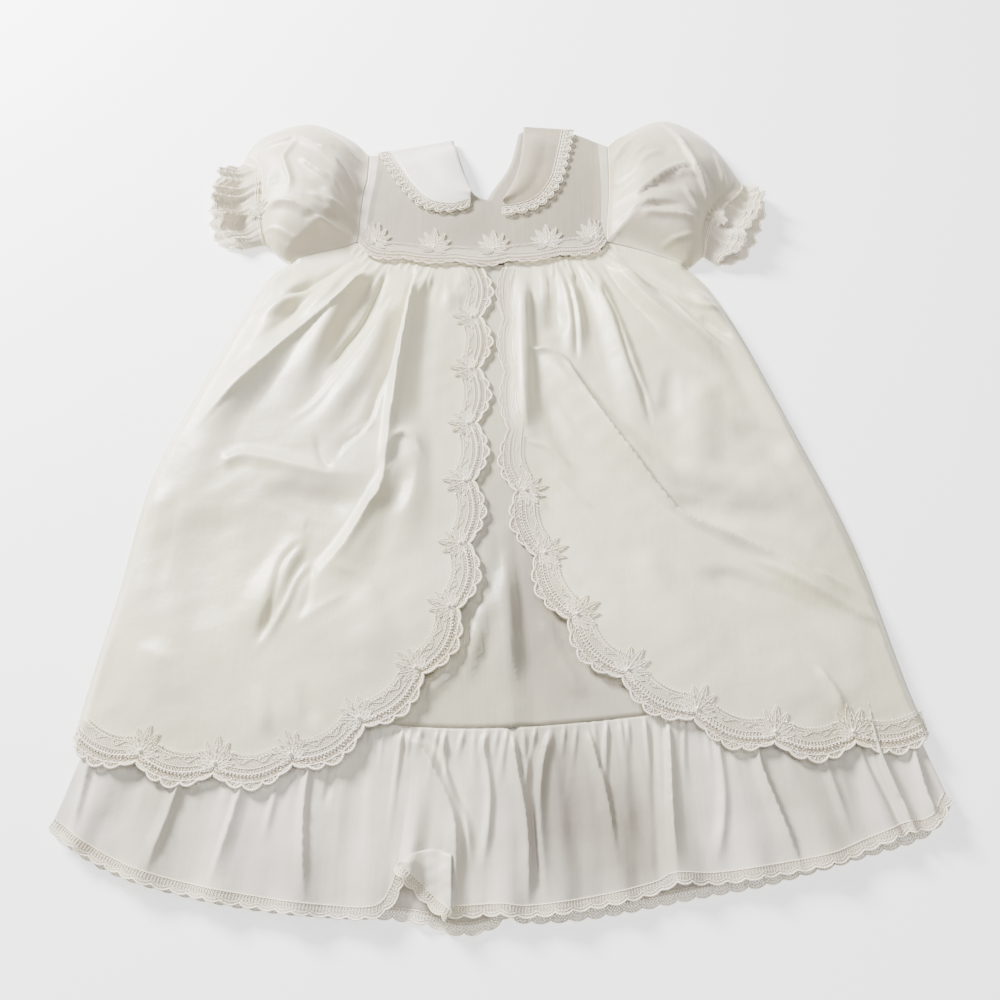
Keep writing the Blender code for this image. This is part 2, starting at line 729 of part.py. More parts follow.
def overskirt_plan(side):
    """Plan of a front overskirt: rows of the inner patch, and lines of the strip along its edge."""
    sign = 1 if side == "left" else -1
    edge, stops = edge_samples(side)
    lines = [beside(edge, sign * STRIP_STEP * k) for k in range(4)]
    skirt_side = curve(SIDE[side])
    under = curve(ARM_UNDER[side])
    waist = curve(WAIST) if side == "left" else curve(WAIST)[::-1]
    top_line = [p for p in under[::-1]] + [p for p in waist[1:] if sign * (p[0] - edge[-1][0]) < -1]
    top_line = moved(top_line + [edge[-1]], 0, -WAIST_GAP)
    for k, line in enumerate(lines):
        line[-1] = at_x(top_line, edge[-1][0] - sign * STRIP_STEP * k)
        side_stop = STRIP_STEP * k
        line[0] = at(skirt_side[::-1], side_stop)
    inner_edge = lines[3]
    bottom = inner_edge[:HEM_COLUMNS + 1]
    right = inner_edge[HEM_COLUMNS:]
    left_line = cut_line(skirt_side[::-1], STRIP_STEP * 3)
    left = spread(left_line, FRONT_ROWS)
    stop = inner_edge[-1][0]
    cut = [p for p in top_line if sign * (p[0] - stop) < -0.5] + [inner_edge[-1]]
    top = spread(cut, HEM_COLUMNS)
    left[-1] = top[0]
    left[0] = bottom[0]
    rows = patch(bottom, top, left, right)
    return rows, lines, stops


def cut_line(line, start):
    """The part of a dense line after a length."""
    out = [at(line, start)]
    run = 0.0
    for a, b in zip(line, line[1:]):
        run += distance(a, b)
        if run > start + 0.5:
            out.append(b)
    return out


def pressed_share(gap, pressed):
    """Share of its height that a fold keeps at a distance from the waist."""
    least, start, run = pressed
    return least + (1 - least) * smoothstep((gap - start) / run)


def overskirt_height(side, waist_line, side_line):
    name = "overskirt_" + side

    def low(point, gather=0.0):
        edge_gap = nearest(point, side_line)[0]
        waist_gap = nearest(point, waist_line)[0]
        pressed = pressed_share(waist_gap, PRESSED_FOLD)
        lift = over_base(point) + fold_height(name, point) * pressed + gather
        return BACK_SECOND + (lift - BACK_SECOND) * smoothstep(edge_gap / SIDE_DROP)

    return low


def overskirt(side, materials):
    rows, lines, stops = overskirt_plan(side)
    waist_line = curve(ARM_UNDER[side])[::-1] + (curve(WAIST) if side == "left" else curve(WAIST)[::-1])
    side_line = curve(SIDE[side], 3)
    low = overskirt_height(side, waist_line, side_line)
    columns = HEM_COLUMNS + 1
    points, lows = [], []
    for row in rows:
        for c, point in enumerate(row):
            waist_gap = nearest(point, waist_line)[0]
            fade = smoothstep(1 - waist_gap / WAIST_GATHER_REACH) * pressed_share(waist_gap, PRESSED_GATHER)
            gather = WAIST_GATHER * fade if c % 2 else 0.0
            points.append(point)
            lows.append(low(point, gather))
    faces = grid_faces(len(rows), columns)
    inner_indices = list(range(columns)) + [r * columns + HEM_COLUMNS for r in range(1, len(rows))]
    chain = [inner_indices]
    for line in (lines[2], lines[1], lines[0]):
        chain.append(list(range(len(points), len(points) + len(line))))
        points += line
        lows += [low(point) for point in line]
    for upper, lower in zip(chain, chain[1:]):
        for a, b, c, d in zip(upper, upper[1:], lower[1:], lower):
            faces.append((a, d, c, b))
    factors = [slope_factor(low, p, low(p)) for p in points]
    tops = [z + CLOTH * f for z, f in zip(lows, factors)]
    outer = [(x, y, z) for (x, y), z in zip(points, tops)]
    inner = [(x, y, z) for (x, y), z in zip(points, lows)]
    add_wall("overskirt_" + side, outer, inner, faces, materials["satin"])
    strip = [[outer[i] for i in row] for row in chain[::-1]]
    overskirt_lace(side, strip, stops, materials["lace"])


def strip_point(strip, stops, along, depth):
    """A point on the overskirt's edge strip, a length along the edge and a depth in from it."""
    k = max(i for i, stop in enumerate(stops) if stop <= along + 1e-6)
    k = min(k, len(stops) - 2)
    share = (along - stops[k]) / (stops[k + 1] - stops[k])
    row = min(int(depth // STRIP_STEP), len(strip) - 2)
    part = depth / STRIP_STEP - row
    a = lerp(strip[row][k], strip[row][k + 1], share)
    b = lerp(strip[row + 1][k], strip[row + 1][k + 1], share)
    return lerp(a, b, part)


def lace_profile(phase):
    """Reach of the lace beyond the cloth and onto it at a phase of its repeat, cusp at 0."""
    swell = math.sin(math.pi * phase) ** SCALLOP_ROUND if 0 < phase < 1 else 0.0
    scallop = SCALLOP_DEPTH * (SCALLOP_CUSP + (1 - SCALLOP_CUSP) * swell)
    leaf = max(0.0, 1 - min(phase, 1 - phase) * LEAF_NARROW)
    return scallop, LACE_ON_CLOTH + (LEAF_TIP - LACE_ON_CLOTH) * leaf


def overskirt_lace(side, strip, stops, material):
    """Scalloped lace on the cloth's edge, from points of the cloth moved up."""
    total = stops[-1]
    count = round(total / REPEAT)
    samples = LACE_SAMPLES
    rows = [[], [], [], []]
    for k in range(count * samples + 1):
        phase = (k % samples) / samples
        along = (total - WAIST_LACE_UP) * k / (count * samples)
        scallop, reach = lace_profile(phase)
        edge = strip_point(strip, stops, along, 0)
        if side == "right":
            hidden = smoothstep((edge[1] - ROLL_Y) / ROLL_RUN)
            scallop *= 1 - ROLL_LOSS * hidden
            reach += (LACE_IN_ROLL - reach) * hidden
        inside = strip_point(strip, stops, along, min(STRIP_STEP, LACE_MIDDLE_ROW * reach))
        run = distance(edge, inside)
        out = scallop / run
        beyond = (edge[0] - (inside[0] - edge[0]) * out, edge[1] - (inside[1] - edge[1]) * out, edge[2])
        rows[0].append(beyond)
        rows[1].append(edge)
        rows[2].append(inside)
        rows[3].append(strip_point(strip, stops, along, reach))
    flat = [point for row in rows for point in row]
    inner = [(x, y, z + LACE_LIFT) for x, y, z in flat]
    outer = [(x, y, z + LACE_LIFT + LACE) for x, y, z in flat]
    add_wall("overskirt_lace_" + side, outer, inner, grid_faces(4, len(rows[0])), material)


def overskirt_back(materials):
    top_line = curve(ARM_UNDER["left"])[::-1] + curve(WAIST)[1:] + curve(ARM_UNDER["right"])[1:]
    top = spread(moved(top_line, 0, -WAIST_GAP), OVER_BACK_COLUMNS)
    bottom = spread(curve(BACK_HEM), OVER_BACK_COLUMNS)
    left = spread(curve(SIDE["left"]), OVER_BACK_ROWS)
    right = spread(curve(SIDE["right"]), OVER_BACK_ROWS)
    left[0], right[0] = top[0], top[-1]
    left[-1], right[-1] = bottom[0], bottom[-1]
    rows = patch(top, bottom, left, right)
    panel("overskirt_back", rows, lambda point: BACK_FLOOR, CLOTH, materials["satin"])
    count = round(length(curve(BACK_HEM)) / REPEAT)
    samples = LACE_SAMPLES
    line = spread(curve(BACK_HEM), count * samples)
    near = beside(line, -SEAM_GAP)
    far = []
    for k, point in enumerate(line):
        scallop = lace_profile((k % samples) / samples)[0]
        far.append(beside(line, -SEAM_GAP - scallop)[k])
    panel("overskirt_lace_back", [near, far], lambda point: BACK_FLOOR, LACE, materials["lace"])


def skirt(materials):
    """Underskirt: a flat back, and a front that rises to the ruffle's seam."""
    waist = curve(ARM_UNDER["left"])[::-1] + curve(WAIST)[1:] + curve(ARM_UNDER["right"])[1:]
    first, last = waist[0][0] + SKIRT_INSET, waist[-1][0] - SKIRT_INSET
    waist = [p for p in waist if first < p[0] < last]
    top = spread(moved(waist, 0, -2 * WAIST_GAP), SKIRT_COLUMNS)
    bottom = moved(spread(curve(RUFFLE_SEAM), SKIRT_COLUMNS), 0, SEAM_GAP)
    left = spread(curve(moved(SIDE["left"][:-2], SKIRT_INSET, 0) + [bottom[0]]), SKIRT_ROWS)
    right = spread(curve(moved(SIDE["right"][:-2], -SKIRT_INSET, 0) + [bottom[-1]]), SKIRT_ROWS)
    left[0], right[0] = top[0], top[-1]
    rows = patch(top, bottom, left, right)

    def front_low(point):
        seam_gap = nearest(point, curve(RUFFLE_SEAM, 4))[0]
        rise = 1 - smoothstep(seam_gap / SKIRT_RISE)
        return FRONT_SKIRT + (FRONT_RUFFLE - FRONT_SKIRT) * rise + fold_height("skirt_front", point)

    panel("skirt_front", rows, front_low, CLOTH, materials["satin"])
    coarse = rows[::3]
    panel("skirt_back", coarse, lambda point: BACK_SECOND, CLOTH, materials["satin"])


# Ruffle and its hem lace

def ruffle(half, materials):
    """Gathered ruffle: small gathers at the seam that run together into the hem's waves."""
    columns = 2 * RUFFLE_GATHERS[half]
    seam = moved(spread(curve(RUFFLE_SEAM), columns), 0, -SEAM_GAP)
    hem = spread(curve(RUFFLE_HEM[half]), columns)
    rows = ruled(seam, hem, RUFFLE_ROWS[half])
    outer, inner, hem_row = [], [], []
    for share, row in zip(RUFFLE_ROWS[half], rows):
        for c, (x, y) in enumerate(row):
            z = ruffle_low(half, c, columns, share)
            thick = CLOTH * (RUFFLE_THICK_SEAM if share < 0.2 else RUFFLE_THICK)
            outer.append((x, y, z + thick))
            inner.append((x, y, z))
            if share == 1:
                hem_row.append((x, y, z))
    add_wall("ruffle_" + half, outer, inner, grid_faces(len(rows), columns + 1), materials["organza"])
    hem_lace(half, hem_row, materials["lace"])


def ruffle_low(half, column, columns, share):
    place = column / columns
    gather = GATHER_HEIGHT * (column % 2) * smoothstep(1 - share / 0.5)
    wave = 0.0
    for middle, half_width, height in RUFFLE_WAVES:
        gap = abs(place - middle) / half_width
        if gap < 1:
            wave += height * 0.5 * (1 + math.cos(math.pi * gap))
    base = FRONT_RUFFLE
    if half == "back":
        base = BACK_SECOND if share < RUFFLE_DROP else BACK_FLOOR
    return base + gather + HEM_WAVE[half] * wave * share ** 2.2


def hem_lace(half, hem_row, material):
    """Narrow lace that carries the ruffle's cloth on past its hem."""
    picked = hem_row[::2]
    plan = [(x, y) for x, y, z in picked]
    near = beside(plan, -HEM_GAP)
    inner = []
    for k, (x, y) in enumerate(near):
        inner.append((x, y, picked[k][2]))
    for k in range(len(plan)):
        reach = HEM_LACE - (HEM_SCALLOP if k % 2 else 0)
        x, y = beside(plan, -HEM_GAP - reach)[k]
        inner.append((x, y, picked[k][2]))
    outer = [(x, y, z + LACE) for x, y, z in inner]
    add_wall("hem_lace_" + half, outer, inner, grid_faces(2, len(plan)), material)


def waist_lace(material):
    """Scalloped band over the front waist seam, held clear of the gathers that it covers."""
    line = curve(WAIST)
    samples = WAIST_LACE_SAMPLES
    stops = spread(line, WAIST_LACE_REPEATS * samples)
    rows = [[], [], []]
    for k, (x, y) in enumerate(stops):
        phase = (k % samples) / samples
        swell = math.sin(math.pi * phase) ** SCALLOP_ROUND if 0 < phase < 1 else 0
        x = min(max(x, stops[0][0] + WAIST_LACE_END), stops[-1][0] - WAIST_LACE_END)
        rows[0].append((x, y + WAIST_LACE_UP))
        rows[1].append((x, y - WAIST_LACE_BEND))
        rows[2].append((x, y - WAIST_LACE_DOWN + WAIST_LACE_SCALLOP * (1 - swell)))
    panel("waist_lace", rows, lambda point: WAIST_LACE_Z, LACE, material)


def build():
    clear_scene()
    materials = {kind: finish(kind, kind) for kind in FINISH}
    bodice_front(materials["plain"])
    for side in ("left", "right"):
        bodice_back(side, materials["plain"])
        collar(side, materials)
        sleeve(side, materials["plain"])
        cuff(side, materials["lace"])
        overskirt(side, materials)
    overskirt_back(materials)
    skirt(materials)
    for half in ("front", "back"):
        ruffle(half, materials)
    waist_lace(materials["lace"])


build()
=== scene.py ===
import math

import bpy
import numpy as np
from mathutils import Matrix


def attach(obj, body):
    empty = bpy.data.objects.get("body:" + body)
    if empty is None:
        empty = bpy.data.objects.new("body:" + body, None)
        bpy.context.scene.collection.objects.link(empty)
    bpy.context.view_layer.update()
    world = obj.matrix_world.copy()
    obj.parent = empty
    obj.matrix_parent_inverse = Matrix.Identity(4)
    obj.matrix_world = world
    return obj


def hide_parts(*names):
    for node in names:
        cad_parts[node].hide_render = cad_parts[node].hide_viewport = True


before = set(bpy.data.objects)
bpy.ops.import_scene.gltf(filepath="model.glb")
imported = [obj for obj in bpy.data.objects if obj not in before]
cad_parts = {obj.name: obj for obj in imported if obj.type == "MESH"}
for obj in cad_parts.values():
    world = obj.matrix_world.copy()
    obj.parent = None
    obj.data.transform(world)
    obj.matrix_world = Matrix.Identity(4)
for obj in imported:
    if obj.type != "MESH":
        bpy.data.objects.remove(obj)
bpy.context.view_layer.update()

# A christening gown laid flat on its back, front side up, on a pale floor.
# Sizes are in millimetres in a drawing frame, x to the right as seen, y towards the collar, z up.
# placed() turns them into metres in the row's frame.

MM = 0.001
MIDDLE = np.array([1.66, 45.56, 0.0])
STEP = 1

CLOTH = 1.0
SHELL = 0.4
SEAM_GAP = 0.35
WAIST_GAP = 0.1
SEAM_LAP = 0.5
CUFF_GAP = 0.2
BACK_SECOND = 1.35
FRONT_SKIRT = 2.7
FRONT_RUFFLE = 4.3
FRONT_OVER_TOP = 4.6
FRONT_OVER_HEM = 8.6
FRONT_RISE_START = -35.0
FRONT_RISE_END = -105.0
SIDE_DROP = 8.0
OVER_PUFF = 2.6
OVER_DIP = 1.5
REPEAT = 48.0

ARM_SIDE = {
    "left": [(-111.5, 322), (-110.5, 294), (-112.5, 273), (-113.5, 251), (-114, 226)],
    "right": [(92.5, 333), (90.5, 283), (88.5, 259), (86.5, 240), (86, 226)],
}
ARM_UNDER = {
    "left": [(-114, 226), (-130, 220), (-150, 214), (-167, 207.5)],
    "right": [(86, 226), (107, 220), (130, 211), (150, 201.5)],
}
WAIST = [
    (-114, 226), (-104, 215.5), (-90, 211), (-52, 207), (-8, 205), (36, 210), (70, 215), (80, 219), (86, 226),
]
SIDE = {
    "left": [
        (-167, 207.5), (-184, 190), (-204, 142), (-222, 90), (-245, 14), (-252, -67), (-259, -130),
        (-262, -161),
    ],
    "right": [
        (150, 201.5), (165, 180), (186, 132), (215, 46), (232, -6), (244, -53), (257, -130), (264, -158),
    ],
}
FRONT_EDGE = {
    "left": [
        (-262, -161), (-213, -177), (-163, -183), (-117, -175), (-77, -150), (-45, -117), (-27, -74),
        (-22, -23), (-20, 24), (-18.5, 72), (-17.5, 122), (-17, 175), (-16.5, 204.4),
    ],
    "right": [
        (264, -158), (227, -163), (179, -166), (134, -156), (93, -136), (60, -108), (35, -67),
        (19, -20), (10, 24), (7, 60), (5, 100), (4, 150), (3.5, 204.8),
    ],
}
HEM_RUN = 192.0
STRIP = 36.0
SKIRT_INSET = 19.0
BACK_HEM = [
    (-262, -161), (-213, -177), (-163, -184), (-80, -187), (0, -187), (90, -183), (179, -169), (264, -158),
]
RUFFLE_SEAM = [(-238, -108), (-160, -140), (-77, -154), (0, -157), (102, -148), (180, -133), (241, -104)]
RUFFLE_HEM = {
    "front": [
        (-262, -211), (-229, -230), (-190, -243), (-141, -252), (-96, -257), (-70, -257), (-61, -247),
        (-56, -234),
        (-47, -243), (-35, -253), (-25, -257), (0, -256), (18, -257), (56, -252), (88, -245), (100, -240),
        (124, -240), (155, -236), (190, -230), (213, -222), (238, -213), (252, -210), (265, -196),
    ],
    "back": [
        (-262, -213), (-229, -232), (-190, -244), (-141, -253), (-96, -257), (-64, -258), (-40, -261),
        (-24, -266), (-8, -264), (6, -256), (16, -260), (56, -257), (114, -247), (155, -240), (214, -225),
        (250, -214), (266, -198),
    ],
}
RUFFLE_WAVES = [
    (0.035, 0.022, 0.7), (0.11, 0.035, 0.9), (0.19, 0.03, 0.8), (0.27, 0.032, 1.0), (0.345, 0.028, 0.6),
    (0.41, 0.022, 1.5), (0.465, 0.02, 1.0), (0.52, 0.022, 0.8), (0.575, 0.024, 0.9), (0.635, 0.022, 0.7),
    (0.7, 0.028, 1.1), (0.775, 0.026, 0.7), (0.85, 0.03, 0.9), (0.92, 0.024, 0.8), (0.975, 0.018, 0.6),
]
HEM_WAVE = {"front": 4.5, "back": 1.6}
RUFFLE_PUFF = 1.6

# Folds: start, middle, end, half width at start and end, height (under 0 for a trough), lean
FOLDS = {
    "overskirt_left": [
        ((-108, 211), (-158, 134), (-213, 50), 8, 22, 7.0, 0.0),
        ((-96, 203), (-126, 155), (-164, 52), 9, 26, 9.0, 0.2),
        ((-80, 165), (-101, 106), (-147, 30), 8, 20, 5.0, 0.0),
        ((-64, 203), (-76, 100), (-80, 5), 8, 18, 8.0, -0.5),
        ((-80, 15), (-98, -29), (-132, -82), 14, 22, 5.0, -0.4),
        ((-37, 203), (-38, 180), (-40, 150), 6, 10, 3.5, 0.0),
        ((-134, -30), (-146, -66), (-166, -108), 13, 18, 4.0, 0.3),
        ((-150, 205), (-186, 120), (-228, -10), 10, 26, 5.0, 0.0),
        ((-60, 60), (-62, 0), (-72, -60), 12, 22, 3.5, 0.0),
    ],
    "overskirt_right": [
        ((18, 194), (19, 110), (21, 30), 8, 13, 8.0, 0.2),
        ((47, 206), (55, 160), (58, 100), 7, 15, 6.0, 0.0),
        ((70, 208), (92, 125), (108, 40), 8, 18, 6.0, 0.3),
        ((84, 214), (125, 152), (182, 95), 8, 20, 8.0, 0.0),
        ((104, 214), (140, 178), (176, 142), 7, 15, 5.0, 0.0),
        ((35, 117), (80, 50), (150, -18), 11, 22, 6.5, 0.2),
        ((145, -14), (190, -45), (230, -82), 16, 22, 5.0, 0.2),
        ((140, 200), (190, 100), (232, -20), 10, 26, 5.0, 0.0),
        ((120, 20), (165, 8), (215, 0), 14, 22, 3.5, 0.0),
    ],
    "skirt_front": [
        ((3, -48), (4, -92), (7, -142), 9, 16, 6.0, 0.0),
        ((-4, -70), (-14, -100), (-30, -142), 6, 12, 3.5, 0.2),
        ((26, -85), (38, -112), (54, -142), 6, 12, 3.0, 0.0),
    ],
}

# Further soft swells and hollows that the solids leave out
SWELLS = {
    "overskirt_left": [
        ((-166, 6), (-125, -4), (-96, -8), 14, 18, -3.6, 0.0),
        ((-66, 30), (-68, 8), (-76, -14), 9, 12, -3.5, 0.0),
        ((-84, 165), (-98, 130), (-124, 86), 6, 12, 2.0, 0.0),
        ((-201, -8), (-194, -66), (-180, -120), 26, 26, -3.5, 0.0),
        ((-232, 14), (-236, -49), (-235, -108), 14, 16, 2.2, 0.0),
        ((-222, -100), (-214, -122), (-206, -146), 16, 20, 1.8, 0.0),
        ((-140, 178), (-166, 161), (-196, 146), 6, 12, 2.6, 0.0),
        ((-98, -62), (-82, -92), (-80, -120), 14, 22, 2.2, 0.0),
        ((-152, -128), (-146, -146), (-141, -164), 7, 9, 1.8, 0.0),
        ((-126, -126), (-118, -144), (-112, -160), 7, 9, -1.8, 0.0),
    ],
    "overskirt_right": [
        ((38, 176), (42, 152), (44, 132), 9, 14, -4.5, 0.0),
        ((150, 99), (143, 50), (134, 2), 18, 24, 3.0, 0.0),
        ((164, 60), (186, 44), (208, 30), 12, 18, -3.2, 0.0),
        ((112, -6), (150, -15), (208, -22), 11, 15, -2.2, 0.0),
        ((130, -56), (182, -76), (230, -104), 12, 20, -4.0, 0.0),
        ((30, 84), (44, 44), (70, 4), 8, 16, -2.5, 0.0),
        ((92, -40), (110, -78), (150, -118), 18, 28, 2.4, 0.0),
        ((128, 108), (124, 80), (120, 52), 8, 12, -2.0, 0.0),
    ],
    "skirt_front": [
        ((-26, -100), (-40, -122), (-50, -142), 9, 12, 2.4, 0.0),
        ((14, -60), (18, -96), (22, -142), 8, 14, -2.2, 0.0),
    ],
    "sleeve_left": [
        ((-186, 292), (-184, 280), (-184, 268), 8, 9, -4.2, 0.0),
        ((-152, 246), (-138, 241), (-120, 240), 5, 6, -4.5, 0.0),
        ((-160, 276), (-148, 266), (-138, 260), 6, 7, -2.4, 0.0),
    ],
    "sleeve_right": [
        ((110, 264), (132, 268), (158, 270), 9, 15, -4.2, 0.0),
        ((122, 318), (134, 311), (144, 302), 9, 11, -2.6, 0.0),
        ((112, 246), (128, 247), (150, 244), 4, 5, -3.0, 0.0),
    ],
    "ruffle_front": [
        ((-215, -160), (-222, -196), (-228, -224), 9, 13, -2.2, 0.0),
        ((-84, -170), (-86, -204), (-84, -244), 8, 12, -2.4, 0.0),
        ((40, -166), (44, -200), (46, -246), 9, 12, -2.6, 0.0),
        ((76, -160), (82, -200), (88, -236), 7, 10, -2.4, 0.0),
        ((206, -136), (212, -176), (218, -212), 8, 10, -2.4, 0.0),
    ],
}

